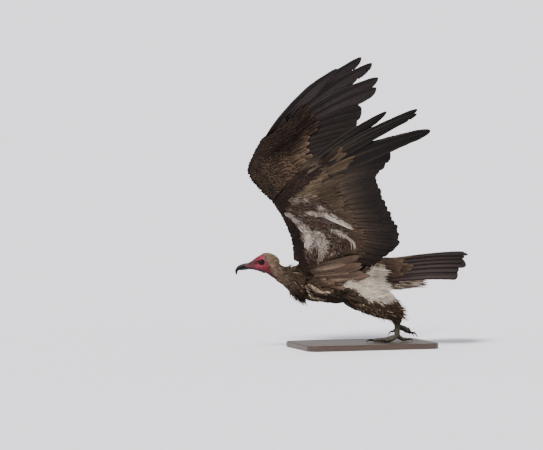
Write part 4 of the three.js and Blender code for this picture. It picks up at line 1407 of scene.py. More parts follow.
def build_tail():
    pairs = TAIL["pairs"]
    rng = np.random.default_rng(7)
    n = 2 * pairs
    place = (np.arange(-pairs, pairs) + 0.5 + 0.14 * rng.normal(size=n)) / pairs
    share, notch = vane_stations(30, rng, n)
    t = mix(0.04 + 0.1 * place[:, None] ** 2, rng.uniform(0.94, 1.01, (n, 1)), share)
    stack = 1.5 * (1 - np.abs(place))[:, None]
    line = tail_surface(t, place[:, None], stack)
    wide = tail_surface(t, place[:, None] + 0.5 / pairs) - tail_surface(t, place[:, None] - 0.5 / pairs)
    spacing = np.linalg.norm(wide, axis=-1)
    outward = np.sign(place)[:, None, None] * unit(wide)
    lead, trail = vane_shape(share, notch, 0.62 * spacing + 2, 1.25 * spacing + 4, 0.93, rng)
    run = np.gradient(line, axis=1)
    dorsal = unit(np.cross(run, wide))
    dorsal *= np.sign(dorsal[..., 2:3])
    s = share[:, :, None, None]
    own = 0.75 + 0.55 * rng.random((n, 1, 1, 1))
    place_across = np.linspace(-1, 1, VANE_PLACES)[None, None, :, None]
    top = mix(colour("332a28"), UPPER_VANE, ramp(s, 0.55, 1.0)) * own
    # Painted shade: each tail feather's upper side darkens along both edges, where its neighbours overlap
    # it.
    top = mix(top, BROWN_BLACK, 0.6 * ramp(np.abs(place_across), 0.5, 1))
    under = mix(UNDER_DUSK, VANE_DARK, ramp(s, 0.4, 1.0)) * own
    made = big_blades(
        "vanes_tail", body_point(line), body_vector(dorsal), body_vector(outward), lead, trail,
        share, (top, under, SHAFT_DARK, UNDER_DUSK), rachis=1.7,
    )
    dress(made, "flight", "flight", "tail")


def build_axillaries(side_name):
    """The long soft feathers between wing and body, in two layers that fan out."""
    side = SIDES[side_name]
    place = np.concatenate([np.linspace(0.06, 0.96, 6), np.linspace(0.1, 0.75, 4)])
    layer = np.repeat([0.0, 1.0], [6, 4])
    n = len(place)
    rng = np.random.default_rng(31 + side)
    share, notch = vane_stations(24, rng, n)
    low, high = AXILLARIES["low"], AXILLARIES["high"]
    root = mix(low[0], AXILLARIES["gathered"], place[:, None]) + rng.normal(size=(n, 3)) * (9, 1, 3)
    tip = mix(low[1], high[1], place[:, None])
    tip = root + (tip - root) * (rng.uniform(0.8, 1.0, n) - 0.3 * layer)[:, None]
    across = unit(high[0] - low[0])
    out = np.array([0.0, 1.0, 0.0])
    stagger = ((rng.random(n) - 0.5) * 2 + 3.0 * layer)[:, None, None]
    line = mix(root[:, None], tip[:, None], share[..., None])
    line = line + out * (2.2 * np.sin(share * math.pi)[..., None] + 1.5 + stagger)
    fan = (rng.normal(size=n) * 5 + 9 * layer * (place - 0.2))[:, None, None]
    line = line + across * fan * share[..., None] ** 2
    wide = np.where(layer > 0, 10.0, 12.5)[:, None] * rng.uniform(0.85, 1.15, (n, 1))
    lead, trail = vane_shape(share, notch, wide * 0.85, wide, 0.66, rng)
    taper = 0.5 + 0.5 * ramp(share, 0, 0.25)
    dorsal = out + np.zeros_like(line)
    lead_way = across + np.zeros_like(line)
    pale = rng.uniform(0.1, 1.0, (n, 1, 1, 1))
    s = share[:, :, None, None]
    edge = np.abs(np.linspace(-1, 1, VANE_PLACES))[None, None, :, None]
    tint = mix(MID_BROWN, BUFF_BROWN, pale)
    tint = mix(tint, DARK_BROWN, 0.55 * (1 - ramp(s, 0, 0.5)))
    tint = mix(tint, PALE_FRINGE, 0.5 * pale * ramp(edge, 0.5, 1) + 0.3 * ramp(s, 0.75, 1))
    # Painted highlight: a cream streak down the middle of the paler feathers.
    streak = hump(edge, 0, 0.4) * ramp(s, 0.1, 0.4) * (1 - ramp(s, 0.6, 0.95)) * (pale > 0.6)
    tint = mix(tint, CREAM, 0.4 * streak)
    shaft = mix(tint[:, :, :1], CREAM, 0.3 * layer[:, None, None, None])
    made = big_blades(
        f"vanes_{side_name}_axillaries", body_point(line, side), body_vector(dorsal, side),
        body_vector(lead_way, side), lead * taper, trail * taper, share, (tint, tint, shaft, shaft),
        tilt=0.1, rachis=0.35,
    )
    dress(made, "flight", "flight", f"wing_{side_name}_axillaries")


def build_alula(side_name):
    side = SIDES[side_name]
    n = 3
    rng = np.random.default_rng(41 + side)
    share, notch = vane_stations(20, rng, n)
    order = np.arange(n)[:, None]
    k = mix(20.6, mix(25.2, 27.6, order / (n - 1)), share)
    x = 0.035 + 0.05 * (n - 1 - order) * share
    line = wing_surface(side, k, x, 1, 1.4 + 0.5 * order)
    chord = unit(wing_surface(side, k, x + 0.1, 1) - wing_surface(side, k, x, 1))
    dorsal = dorsal_at(k, side)
    lead, trail = vane_shape(share, notch, 3.4, 8, 0.7, rng)
    made = big_blades(
        f"vanes_{side_name}_alula", body_point(line, side), body_vector(dorsal, side),
        body_vector(-chord, side), lead, trail, share,
        (BROWN_BLACK, BROWN_BLACK, SHAFT_DARK, SHAFT_DARK), rachis=0.9,
    )
    dress(made, "flight", "flight", f"wing_{side_name}_alula")


# ---------------------------------------------------------------- wing coverts

# Rows of coverts from the leading edge back: [first x, last x, rows, length, width, spacing]
COVERT_ROWS = {
    1: {
        "marginal": (0.015, 0.15, 6, 14, 8, 6.0),
        "lesser": (0.17, 0.46, 8, 21, 9.5, 7.0),
        "median": (0.50, 0.68, 4, 46, 11.5, 9.5),
        "greater": (0.74, 0.88, 3, 76, 13, 11.0),
    },
    -1: {
        "marginal": (0.015, 0.17, 6, 15, 6.5, 6.0),
        "lesser": (0.20, 0.48, 7, 27, 8, 6.5),
        "median": (0.53, 0.70, 4, 42, 9, 7.5),
        "greater": (0.76, 0.90, 3, 74, 11, 9.0),
    },
}
DARK_STRIP = (  # k, and the x where the dark strip ends there
    [-3, 6, 14, 17, 19, 21, 23, 25, 29],
    [0.2, 0.17, 0.1, 0.2, 0.3, 0.42, 0.54, 0.62, 0.9],
)
CHART = (8.7, 165.0)  # about how many millimetres a step of k and of x are
# Patches of pale down on the lower side: two ends (k, x), half-width and how white.
DOWN_PATCHES = [
    ((13.6, 0.12), (8.5, 0.23), 4.5, 0.8), ((7.0, 0.25), (2.2, 0.30), 11.5, 1.0),
    ((4.0, 0.46), (1.2, 0.60), 12, 0.75), ((13.6, 0.46), (12.7, 0.94), 4.5, 0.75),
    ((11.3, 0.97), (9.4, 1.08), 6, 1.0), ((6.4, 0.76), (5.6, 0.90), 5, 1.0),
    ((19.2, 0.33), (18.0, 0.62), 4.5, 0.35), ((15.3, 0.74), (15.0, 0.86), 2.5, 0.8),
]
# Long pale feathers on the lower side: root (k, x) and tip (k, x).
WHITE_FEATHERS = [
    ((12.9, 0.80), (8.6, 1.10)), ((12.4, 0.84), (8.0, 1.14)),
    ((6.6, 0.78), (3.2, 1.12)), ((6.2, 0.84), (2.3, 1.20)),
]


def to_chart(k, x):
    return np.asarray(k, float) * CHART[0], np.asarray(x, float) * CHART[1]


def under_edge(k):
    """Where the dark strip along the leading edge ends on the lower side."""
    return np.interp(k, *DARK_STRIP)


def under_down_share(k, x):
    """1 in the pale downy patches of the lower side."""
    u, v = to_chart(k, x)
    ragged = 4 * fuzz(np.stack([u, v, 0 * u], -1), 9, 17)
    shares = [
        white * ramp(width - to_segment(u, v, to_chart(*start), to_chart(*end)) + ragged, -4, 5)
        for start, end, width, white in DOWN_PATCHES
    ]
    return np.max(shares, 0)


def covert_tints(face, k, x, kind, rng):
    n = len(k)
    chart = np.stack([*to_chart(k, x), np.full(n, 5.0 * face)], -1)
    wave = fuzz(chart, 22, 20 + face)[:, None]
    fine = fuzz(chart, 7, 22 + face)[:, None]
    jitter = 0.78 + 0.44 * rng.random((n, 1))
    if face == 1:
        tint = mix(BROWN_BLACK, DARK_BROWN, np.clip(0.6 + wave, 0, 1))
        inner = (1 - ramp(k, 20, 23.5))[:, None]
        if kind == "greater":
            tint = mix(tint, MID_BROWN, 0.6 * inner)
        if kind == "median":
            tint = mix(tint, MID_BROWN, 0.3 * inner)
        pale = {"marginal": 0.2, "lesser": 0.5, "median": 0.75, "greater": 0.6}[kind]
        fringe = mix(tint, mix(RUST, PALE_FRINGE, 0.85), pale * mix(0.15, 1, inner))
        return tint * jitter, fringe * jitter
    tint = mix(BROWN_BLACK, DARK_BROWN, np.clip(0.5 + wave, 0, 1))
    fringe = mix(tint, MID_BROWN, 0.5)
    beyond = ramp(x - under_edge(k) + 0.03 * fine[:, 0], -0.02, 0.03)[:, None]
    armpit = 1 - ramp(k, 14.5, 17.5)[:, None]
    rust = mix(mix(RUST, MID_BROWN, 0.5), DARK_BROWN, np.clip(0.5 - 1.4 * wave, 0, 1))
    outward = ramp(x, 0.35, 1.0)[:, None] + 0.45 * (kind == "greater")
    olive = mix(UNDER_VANE, UNDER_DUSK, np.clip(0.65 * outward + 0.6 * fine, 0, 1))
    plain = mix(mix(UNDER_DUSK, MID_BROWN, 0.7), olive, ramp(k, 6, 13)[:, None])
    zone = mix(olive, mix(rust, plain, ramp(x, 0.6, 0.8)[:, None]), armpit)
    zone = mix(zone, UNDER_DUSK, 0.6 * ramp(k, 22, 25)[:, None])
    tint = mix(tint, zone, beyond)
    fringe = mix(fringe, mix(zone, PALE_FRINGE, 0.3 * armpit), beyond)
    fluffy = {"marginal": 1.0, "lesser": 0.9, "median": 0.45, "greater": 0.0}[kind]
    down = (under_down_share(k, x) * (rng.random(n) < 0.75) * fluffy)[:, None]
    pale = mix(BUFF_BROWN, WHITE_DOWN, np.clip(0.5 + 1.4 * fine, 0, 1))
    tint, fringe = mix(tint, pale, down), mix(fringe, pale, down)
    return tint * jitter, fringe * jitter


def feathers_on_wing(name, side, face, k, x, stand, half, share, tint, fringe, surface, rng, twist=4):
    """Small feathers along lines k, x of the wing's surface, [feather][station]."""
    line = wing_surface(side, k, x, face, stand)
    direction = unit(np.gradient(line, axis=1))
    normal = face * dorsal_at(k, side)
    flat = unit(normal - direction * dot(normal, direction))
    lateral, up = rolled(np.cross(direction, flat), flat, direction, twist, rng)
    points = body_point(line, side)
    return small_blades(
        name, points, body_vector(lateral, side), body_vector(up, side), half, share, tint, fringe,
        surface.map_at(points[:, 0]), WING_FRINGE, cup=0.08,
    )


def build_coverts(side_name, face, surface):
    side = SIDES[side_name]
    face_name = "upper" if face == 1 else "lower"
    for kind, (first, last, rows, length, width, spacing) in COVERT_ROWS[face].items():
        rng = np.random.default_rng(200 + side + 10 * face + rows)
        ks, xs = [], []
        for row in range(rows):
            x = mix(first, last, row / max(1, rows - 1))
            fine_k = np.linspace(SHOULDER_K, TIP_K - 0.4, 600)
            run = wing_surface(side, fine_k, np.full(600, x), face)
            far = np.concatenate([[0], np.cumsum(np.linalg.norm(np.diff(run, axis=0), axis=1))])
            count = int(far[-1] / spacing)
            at = (np.arange(count) + (0.5 if row % 2 else 0.0) + 0.2 * rng.normal(size=count)) / count
            ks.append(np.interp(at * far[-1], far, fine_k))
            xs.append(np.full(count, x) + 0.012 * rng.normal(size=count))
        k, x = np.concatenate(ks), np.clip(np.concatenate(xs), 0.01, 0.95)
        n = len(k)
        share, wide = (np.array(v) for v in OUTLINES["round" if kind != "greater" else "blunt"])
        hand = ramp(k, 18, 24)
        long_ = length * rng.uniform(0.85, 1.12, n) * mix(1, 0.85, hand)
        if kind == "greater":
            long_ = long_ * mix(1, 1.25, hand)
        if kind == "marginal":
            long_ = long_ * mix(0.75, 1, x / last)
        chord = np.linalg.norm(
            shaft_at(k, side, covered_share(k)) - smooth_along(LEADING_EDGES[side], k), axis=-1,
        )
        k_rate = np.linalg.norm(
            wing_surface(side, k + 0.5, x, face) - wing_surface(side, k - 0.5, x, face), axis=-1,
        )
        sweep = 0.14 + 0.03 * rng.normal(size=n)
        run = long_[:, None] * share
        x_line = x[:, None] + run * 0.94 / chord[:, None]
        beyond = np.linalg.norm(tip_at(k, side) - root_at(k), axis=-1) * (1 - covered_share(k))
        x_line = np.where(x_line > 1, 1 + (x_line - 1) * (chord / np.maximum(beyond, 1))[:, None], x_line)
        k_line = k[:, None] + sweep[:, None] * run / np.maximum(k_rate, 2)[:, None]
        stand = 1.0 + 1.1 * share[None] ** 1.5 * (1 + 0.5 * rng.random((n, 1))) - 1.2 * (share[None] < 0.05)
        half = (width * rng.uniform(0.85, 1.15, n))[:, None] / 2 * wide
        tint, fringe = covert_tints(face, k, x, kind, rng)
        made = feathers_on_wing(
            f"coverts_{side_name}_{face_name}_{kind}", side, face, k_line, x_line, stand, half, share,
            tint, fringe, surface, rng,
        )
        dress(made, "contour", "plumage")


def build_wing_down(side_name, surface):
    """The tufts and long pale feathers that stand from the wing's lower side."""
    side = SIDES[side_name]
    rng = np.random.default_rng(301 + side)
    many, kept = 14000, 2400  # tufts that are tried, and the most that stay
    k, x = rng.uniform(-1, 20, many), rng.uniform(0.1, 1.14, many)
    down = under_down_share(k, x)
    chosen = rng.random(many) < 1.2 * down
    chosen |= (rng.random(many) < 0.14) & (k < 16.8) & (x > under_edge(k)) & (x < 1)
    k, x, down = k[chosen][:kept], x[chosen][:kept], down[chosen][:kept, None]
    n = len(k)
    share, wide = (np.array(v) for v in OUTLINES["wisp"])
    heading = 0.55 + 0.55 * rng.normal(size=n)
    length = rng.uniform(9, 19, n)
    run = length[:, None] * share
    k_line = k[:, None] - np.sin(heading)[:, None] * run / CHART[0] * 0.7
    x_line = x[:, None] + np.cos(heading)[:, None] * run / CHART[1]
    stand = 1.8 + rng.uniform(1.0, 6.5, (n, 1)) * share[None] ** 1.3
    half = rng.uniform(1.2, 2.4, n)[:, None] * wide
    chart = np.stack([*to_chart(k, x), np.zeros(n)], -1)
    fine = fuzz(chart, 5, 31)[:, None]
    pale = mix(BUFF_BROWN, WHITE_DOWN, np.clip(0.6 + 1.3 * fine + 0.25 * rng.normal(size=(n, 1)), 0, 1))
    dark = mix(mix(RUST, MID_BROWN, 0.5), DARK_BROWN, np.clip(0.5 + 1.3 * fine, 0, 1))
    tint = mix(dark, pale, down) * (0.75 + 0.5 * rng.random((n, 1)))
    made = feathers_on_wing(
        f"down_{side_name}_wing", side, -1, k_line, x_line, stand, half, share,
        tint, mix(tint, pale, 0.4), surface, rng, twist=35,
    )
    dress(made, "down", "down")
    ends = np.array(WHITE_FEATHERS)
    ends = np.repeat(ends, 4, 0) + 0.022 * rng.normal(size=(4 * len(ends), 2, 2)) * np.array([16, 1])
    share, wide = (np.array(v) for v in OUTLINES["lance"])
    n = len(ends)
    k_line = mix(ends[:, :1, 0], ends[:, 1:, 0], share[None])
    x_line = mix(ends[:, :1, 1], ends[:, 1:, 1], share[None])
    stand = 3.5 + 2.0 * rng.random((n, 1)) + 1.5 * share[None]
    half = rng.uniform(1.3, 2.6, n)[:, None] * wide
    tint = mix(WHITE_DOWN, BUFF_BROWN, rng.uniform(0, 0.8, (n, 1)))
    made = feathers_on_wing(
        f"plumes_{side_name}_wing", side, -1, k_line, x_line, stand, half, share,
        tint, mix(tint, WHITE_DOWN, 0.5), surface, rng, twist=10,
    )
    dress(made, "down", "down")


# ---------------------------------------------------------------- the body's coat


def lie(points):
    """The way that the coat lies at each point: from the head back, down the thighs."""
    b = body_coords(points)
    out = np.sign(b[:, 1:2])
    way = np.tile([1.0, 0.0, -0.12], (len(points), 1))
    way[:, 1:2] += 0.12 * out * (1 - ramp(b[:, 0:1], 0, 80))
    world = turned(way, 0, BANK)
    leg = thigh_share(points)[:, None]
    down = np.array([0.72, 0.0, -0.7])
    return unit(mix(world, down, leg))


def thigh_share(points):
    """1 low on the thighs, where the coat runs down to the ankle."""
    b = body_coords(points)
    low_left = ramp(-points[:, 2], -150, -118) * (points[:, 1] < 10)
    low_right = ramp(-points[:, 2], -172, -140) * (points[:, 1] >= 10)
    return (low_left + low_right) * (b[:, 0] > 60) * (b[:, 0] < 300) * ramp(b[:, 0], 90, 130)


def on_body(points):
    """The trunk and thighs, without neck, arms and shanks."""
    b = body_coords(points)
    q = head_coords(points)
    arm = (b[:, 2] > 26 + 0.18 * (b[:, 0])) & (np.abs(b[:, 1]) > 34)
    keep = (q[:, 0] > -34) & (b[:, 0] < 285) & ~arm & (points[:, 2] > 84)
    return keep.astype(float)


def coat_on(name, surface, spacing, where, rng, shape, colours, heading_spread, material, slot,
            outline="round", places=3, twist=12, way=lie, **more):
    """A coat on the part of the surface that where() keeps. shape() gives lengths, widths and
    lifts, and colours() middle and fringe colours, from the roots."""
    roots, uvs = surface.scatter(spacing, where, rng)
    n = len(roots)
    length, width, lift = shape(roots, n)
    tint, fringe = colours(roots, n)
    heading = way(roots) + heading_spread * rng.normal(size=(n, 3))
    made = coat(
        name, surface, roots, uvs, heading, length, width, lift, rng, tint, fringe,
        outline=outline, places=places, twist=twist, **more,
    )
    return dress(made, material, slot)


def build_body_coat(surface):
    rng = np.random.default_rng(51)

    def contour(p):
        return on_body(p) * (flank_share(body_coords(p)) < 0.5) * (thigh_share(p) < 0.5)

    def contour_shape(p, n):
        b = body_coords(p)
        size = mix(0.55, 1.0, ramp(b[:, 0], -10, 70)) * mix(1.0, 1.15, ramp(b[:, 2], -30, 10))
        size = size * rng.uniform(0.85, 1.2, n)
        gap = -inside(WHITE_FLANK, b[:, 0], b[:, 2])
        length = np.minimum(33 * size, 11 + np.maximum(gap, 0))
        return length, np.minimum(12.5 * size, 0.5 * length), rng.uniform(2.5, 4.5, n)

    def trunk_colours(p, n):
        return trunk_tint(body_coords(p), rng)

    coat_on(
        "coat_body", surface, 6.4, contour, rng, contour_shape, trunk_colours, 0.10,
        "contour", "plumage", twist=8,
    )

    def side(p):
        b = body_coords(p)
        zone = inside([(-6, -34), (62, -44), (112, -12), (70, 30), (0, 30)], b[:, 0], b[:, 2])
        return on_body(p) * (zone > 0)

    def side_colours(p, n):
        pale = rng.random((n, 1)) ** 1.5
        tint = mix(DARK_BROWN, BUFF_BROWN, pale)
        return tint, mix(tint, PALE_FRINGE, 0.55)

    coat_on(
        "coat_side", surface, 13.0, side, rng,
        lambda p, n: (rng.uniform(38, 56, n), rng.uniform(12, 17, n), rng.uniform(4.5, 8, n)),
        side_colours, 0.13, "contour", "plumage", places=5, twist=10,
    )

    def white(p):
        return on_body(p) * (flank_share(body_coords(p)) > 0.35)

    coat_on(
        "coat_flank_down", surface, 2.45, white, rng,
        lambda p, n: (rng.uniform(10, 19, n), rng.uniform(1.2, 2.6, n), rng.uniform(2.5, 8.5, n)),
        trunk_colours, 0.42, "down", "down", outline="wisp", twist=50,
    )

    def rump(p):
        b = body_coords(p)
        return on_body(p) * (b[:, 0] > 182) * (b[:, 0] < 216) * (b[:, 2] > -66) * (b[:, 2] < -4)

    def rump_colours(p, n):
        tint = mix(WHITE_DOWN, mix(CREAM, BUFF_BROWN, 0.3), rng.random((n, 1)) ** 2)
        return tint, mix(tint, WHITE_DOWN, 0.4)

    def rump_way(p):
        b = body_coords(p)
        way = np.stack([np.ones(len(p)), 0.2 * np.sign(b[:, 1]), np.full(len(p), -0.06)], 1)
        return body_vector(way)

    coat_on(  # plumes that bridge from the trunk's end to the roots of the tail feathers
        "coat_rump_down", surface, 2.6, rump, rng,
        lambda p, n: (rng.uniform(18, 34, n), rng.uniform(1.6, 3.4, n), rng.uniform(2.5, 7.5, n)),
        rump_colours, 0.16, "down", "down", outline="wisp", twist=45, lines=stand_off, way=rump_way,
    )

    def thigh(p):
        return on_body(p) * (thigh_share(p) > 0.35) * (flank_share(body_coords(p)) < 0.6)

    def thigh_colours(p, n):
        wave = fuzz(p * np.array([0.5, 1, 0.7]), 7, 8)[:, None]
        tint = mix(DARK_BROWN, MID_BROWN, np.clip(0.5 + 1.3 * wave, 0, 1)) * rng.uniform(0.8, 1.25, (n, 1))
        tint = mix(tint, mix(RUST, MID_BROWN, 0.4), 0.4 * np.clip(fuzz(p, 15, 12), 0, 1)[:, None])
        rear = ramp(p[:, 0] + 0.55 * p[:, 2], 158, 172)[:, None] * (rng.random((n, 1)) < 0.6)
        tint = mix(tint, CREAM, 0.8 * rear)
        front = (1 - ramp(p[:, 0] + 0.62 * p[:, 2], 96, 120))[:, None] * (rng.random((n, 1)) < 0.16)
        tint = tint * 0.8
        return tint, mix(mix(tint, PALE_FRINGE, 0.22), CREAM, 0.7 * front)

    coat_on(
        "coat_thighs", surface, 4.0, thigh, rng,
        lambda p, n: (rng.uniform(18, 29, n), rng.uniform(3.6, 6.4, n), rng.uniform(1.8, 5.0, n)),
        thigh_colours, 0.13, "contour", "plumage", outline="soft", twist=18,
    )

    def rear_of_thigh(p):
        edge = p[:, 0] + 0.55 * p[:, 2]
        return on_body(p) * (thigh_share(p) > 0.35) * ((edge > 140) | (p[:, 2] < 112))

    def wisp_colours(p, n):
        tint = mix(DARK_BROWN, BUFF_BROWN, rng.random((n, 1)) ** 1.8)
        tint = mix(tint, CREAM, 0.6 * (rng.random((n, 1)) < 0.12))
        return tint, tint

    coat_on(
        "coat_thigh_wisps", surface, 5.0, rear_of_thigh, rng,
        lambda p, n: (rng.uniform(12, 25, n), rng.uniform(1.3, 3.2, n), rng.uniform(1.5, 5, n)),
        wisp_colours, 0.16, "contour", "plumage", outline="lance", twist=35, lines=stand_off,
        way=lambda p: np.tile([0.92, -0.05, -0.38], (len(p), 1)),
    )

    def under_tail(p):
        b = body_coords(p)
        below = (b[:, 2] < -22) & (np.abs(b[:, 1]) < 44) & (p[:, 2] > 130)
        return ((b[:, 0] > 196) & (b[:, 0] < 356) & below).astype(float)

    def under_tail_colours(p, n):
        stripe = fuzz(p * np.array([0.25, 1, 1]), 6, 14)[:, None]
        pale = np.clip(0.4 + 1.8 * stripe, 0, 1)
        tint = mix(mix(MID_BROWN, DARK_BROWN, 0.3), mix(CREAM, WHITE_DOWN, 0.5), pale)
        return tint * rng.uniform(0.8, 1.15, (n, 1)), mix(tint, CREAM, 0.6)

    def to_tip(p, n):
        left = np.maximum(364 - body_coords(p)[:, 0], 8)
        return np.minimum(rng.uniform(30, 62, n), left), rng.uniform(6, 9.5, n), rng.uniform(3, 7, n)

    coat_on(
        "coat_undertail", surface, 7.0, under_tail, rng, to_tip,
        under_tail_colours, 0.10, "down", "down", outline="lance", twist=15,
    )

    def fringe_of_tail(p):
        b = body_coords(p)
        return ((b[:, 0] > 268) & (b[:, 0] < 335) & (b[:, 2] < -46) & (p[:, 2] > 130)).astype(float)

    def past_fringe(p, n):
        length = np.minimum(rng.uniform(30, 60, n), 368 - body_coords(p)[:, 0])
        return length, rng.uniform(4, 7, n), rng.uniform(1.5, 5, n)

    coat_on(
        "coat_undertail_tips", surface, 9.0, fringe_of_tail, rng, past_fringe,
        under_tail_colours, 0.05, "down", "down", outline="lance", places=5, twist=25, lines=stand_off,
        way=lambda p: body_vector(np.tile([1.0, 0.0, 0.05], (len(p), 1))),
    )


def head_vector(v):
    return turned(v, 2, -HEAD_TURN)


def head_way(n, aside, up, up_spread, rng):
    """Ways back over the head for n feathers, spread aside and about the rise up."""
    sideways = aside * rng.normal(size=n)
    return head_vector(np.stack([np.ones(n), sideways, up + up_spread * rng.normal(size=n)], -1))


def build_hood(surface, rng):
    """The short down of crown, nape and hind neck."""

    def hood(p):
        q = head_coords(p)
        return ((face_share(q) < 0.45) & (q[:, 0] < -42)).astype(float)

    roots, uvs = surface.scatter(3.5, hood, rng)
    q = head_coords(roots)
    n = len(q)
    neckward = ramp(q[:, 0], -105, -60)
    heading = head_way(n, 0.3, -0.55, 0.3, rng)
    tint = hood_tint(q, rng)
    made = coat(
        "coat_hood", surface, roots, uvs, heading, mix(4.8, 9.5, neckward) * rng.uniform(0.75, 1.25, n),
        rng.uniform(1.8, 3.1, n), mix(0.9, 2.4, neckward) * rng.uniform(0.6, 1.7, n), rng, tint,
        mix(tint, CREAM, 0.2), outline="wisp", twist=50, root_lift=0.1, thick=0.3,
    )
    dress(made, "down", "hood")


def build_bristles(surface, rng):
    """Fine bristles before the eye, round the ear and on the chin."""

    def bristle(p):
        q = head_coords(p)
        lore = hump(q[:, 0], -143, 8) * hump(q[:, 2], 3, 7)
        ear = hump(np.hypot(q[:, 0] - EAR[0], q[:, 2] - EAR[1]), 4, 3)
        chin = hump(q[:, 0], -132, 16) * hump(q[:, 2], -19, 6)
        return ((lore + chin + ear > 0.55) & (face_share(q) > 0.5)).astype(float)

    roots, uvs = surface.scatter(3.0, bristle, rng)
    n = len(roots)
    heading = head_way(n, 0.2, 0.0, 0.3, rng)
    made = coat(
        "coat_bristles", surface, roots, uvs, heading, rng.uniform(1.8, 3.4, n), np.full(n, 0.26),
        rng.uniform(0.5, 1.2, n), rng, np.tile(colour("3a2023"), (n, 1)), np.tile(colour("573239"), (n, 1)),
        outline="wisp", root_lift=0.0, thick=0.2,
    )
    dress(made, "down", "hood")


def build_ruff(surface, rng):
    """Loose feathers round the lower neck."""

    def collar(p):
        q = head_coords(p)
        b = body_coords(p)
        return ((q[:, 0] > -68) & (q[:, 0] < -18) & (b[:, 2] < 18)).astype(float)

    roots, uvs = surface.scatter(4.0, collar, rng)
    q = head_coords(roots)
    n = len(q)
    heading = head_way(n, 0.2, -0.55, 0.28, rng)
    low = ramp(-q[:, 2], 45, 70)
    high = ramp(q[:, 2], -22, -6)
    tan = hump(q[:, 0], -64, 8) * hump(q[:, 2], -40, 12)
    wave = fuzz(roots, 7, 9)[:, None]
    tint = mix(BROWN_BLACK, MID_BROWN, np.clip(0.5 + 1.6 * wave, 0, 1))
    tint = mix(tint, BROWN_BLACK, 0.45 * low[:, None]) * (0.75 + 0.5 * rng.random((n, 1)))
    tint = mix(tint, mix(BUFF_BROWN, CREAM, 0.3), 0.6 * tan[:, None])
    tint = mix(tint, CREAM, 0.5 * (rng.random((n, 1)) < 0.06))
    front = 1 - ramp(q[:, 0], -60, -40)
    length = mix(27, 13, front) * rng.uniform(0.75, 1.2, n)
    width = rng.uniform(3.0, 5.6, n)
    lift = mix(4.5, 2.2, front) * rng.uniform(0.6, 1.7, n) + 2.5 * low + 2.0 * high
    made = coat(
        "coat_ruff", surface, roots, uvs, heading, length, width, lift, rng, tint,
        mix(tint, PALE_FRINGE, 0.3), outline="lance", twist=30,
    )
    dress(made, "contour", "plumage")


def build_hackles(surface, rng):
    """Long feathers that stand out from the throat's foot and the nape."""

    def spikes(p):
        q = head_coords(p)
        under = (q[:, 0] > -48) & (q[:, 0] < -14) & (q[:, 2] < -58)
        nape = (q[:, 0] > -66) & (q[:, 0] < -34) & (q[:, 2] > -16 + 0.5 * (-50 - q[:, 0])) & (q[:, 2] < 16)
        return (under | nape).astype(float)

    roots, uvs = surface.scatter(7.0, spikes, rng)
    q = head_coords(roots)
    n = len(q)
    below = (q[:, 2] < -40)[:, None]
    way = np.where(below, np.array([0.75, 0.0, -0.9]), np.array([0.9, 0.0, 0.25]))
    heading = head_vector(way + 0.25 * rng.normal(size=(n, 3)))
    tint = mix(BROWN_BLACK, MID_BROWN, rng.random((n, 1)))
    pale = (rng.random((n, 1)) < 0.25) * ~below
    tint = mix(tint, CREAM, 0.6 * pale)
    length = np.where(below[:, 0], 36, 18) * rng.uniform(0.8, 1.2, n)
    width = np.where(below[:, 0], 6.5, 3.4) * rng.uniform(0.8, 1.2, n)
    lift = np.where(below[:, 0], 21, 13) * rng.uniform(0.6, 1.2, n)
    made = coat(
        "coat_hackles", surface, roots, uvs, heading, length, width, lift, rng, tint, tint,
        outline="lance", twist=35,
    )
    dress(made, "contour", "plumage")


def tail_covert_rows(name, face, rows, surface, seed):
    """Coverts over (face 1) or under (face -1) the tail's root. Rows are (first share,
    count, length, width, height above the tail at the root)."""
    rng = np.random.default_rng(seed)
    for number, (first, count, length, width, height) in enumerate(rows):
        place = np.linspace(-0.92, 0.92, count) + 0.03 * rng.normal(size=count)
        outline = "round" if face == 1 else "lance"
        share, wide = (np.array(v) for v in OUTLINES[outline])
        span = length * rng.uniform(0.8, 1.15, count) / TAIL["length"]
        s = first + 0.07 * place[:, None] ** 2 + span[:, None] * share + 0.02 * rng.normal(size=(count, 1))
        p = place[:, None] * mix(1, 0.92, share)[None] + 0.05 * rng.normal(size=(count, 1)) * share[None]
        up_by = face * (2.4 + height * (1 - share[None] * 0.85) + 1.2 * rng.random((count, 1)))
        up_by = up_by - 0.6 * face * number
        line = tail_surface(s, p, up_by)
        direction = unit(np.gradient(line, axis=1))
        wide_way = tail_surface(s, p + 0.05, up_by) - tail_surface(s, p - 0.05, up_by)
        lateral = unit(wide_way - direction * dot(wide_way, direction))
        normal = np.cross(direction, lateral)
        normal *= np.sign(normal[..., 2:3]) * face
        half = (width * rng.uniform(0.8, 1.2, count))[:, None] / 2 * wide
        if face == 1:
            tint = mix(DARK_BROWN, MID_BROWN, rng.random((count, 1)))
            fringe = mix(tint, PALE_FRINGE, 0.45)
        else:
            pale = (rng.random((count, 1)) < 0.6) * 1.0
            tint = mix(MID_BROWN, WHITE_DOWN, pale * rng.uniform(0.6, 1, (count, 1)))
            fringe = mix(tint, CREAM, 0.5)
        points = body_point(line)
        made = small_blades(
            f"{name}_{number + 1}", points, body_vector(lateral), body_vector(normal), half, share,
            tint, fringe, surface.map_at(points[:, 0]), TAIL_FRINGE, cup=0.15, thick=0.45,
        )
        if face == 1:
            dress(made, "contour", "plumage")
        elif number == 0:
            dress(made, "down", "down", "undertail_coverts")
        else:
            dress(made, "down", "down")


# ---------------------------------------------------------------- stage


SKY = np.array([1.78, 1.70, 1.82])  # how bright the pale surroundings look
AMBIENT = 0.8
WORLD_COLOUR = np.array([1.0, 0.985, 1.0])
SUN_COLOUR = np.array([1.0, 0.97, 0.92])
SUN = {"strength": 6.0, "height": 48, "bearing": -38, "softness": 16}  # degrees


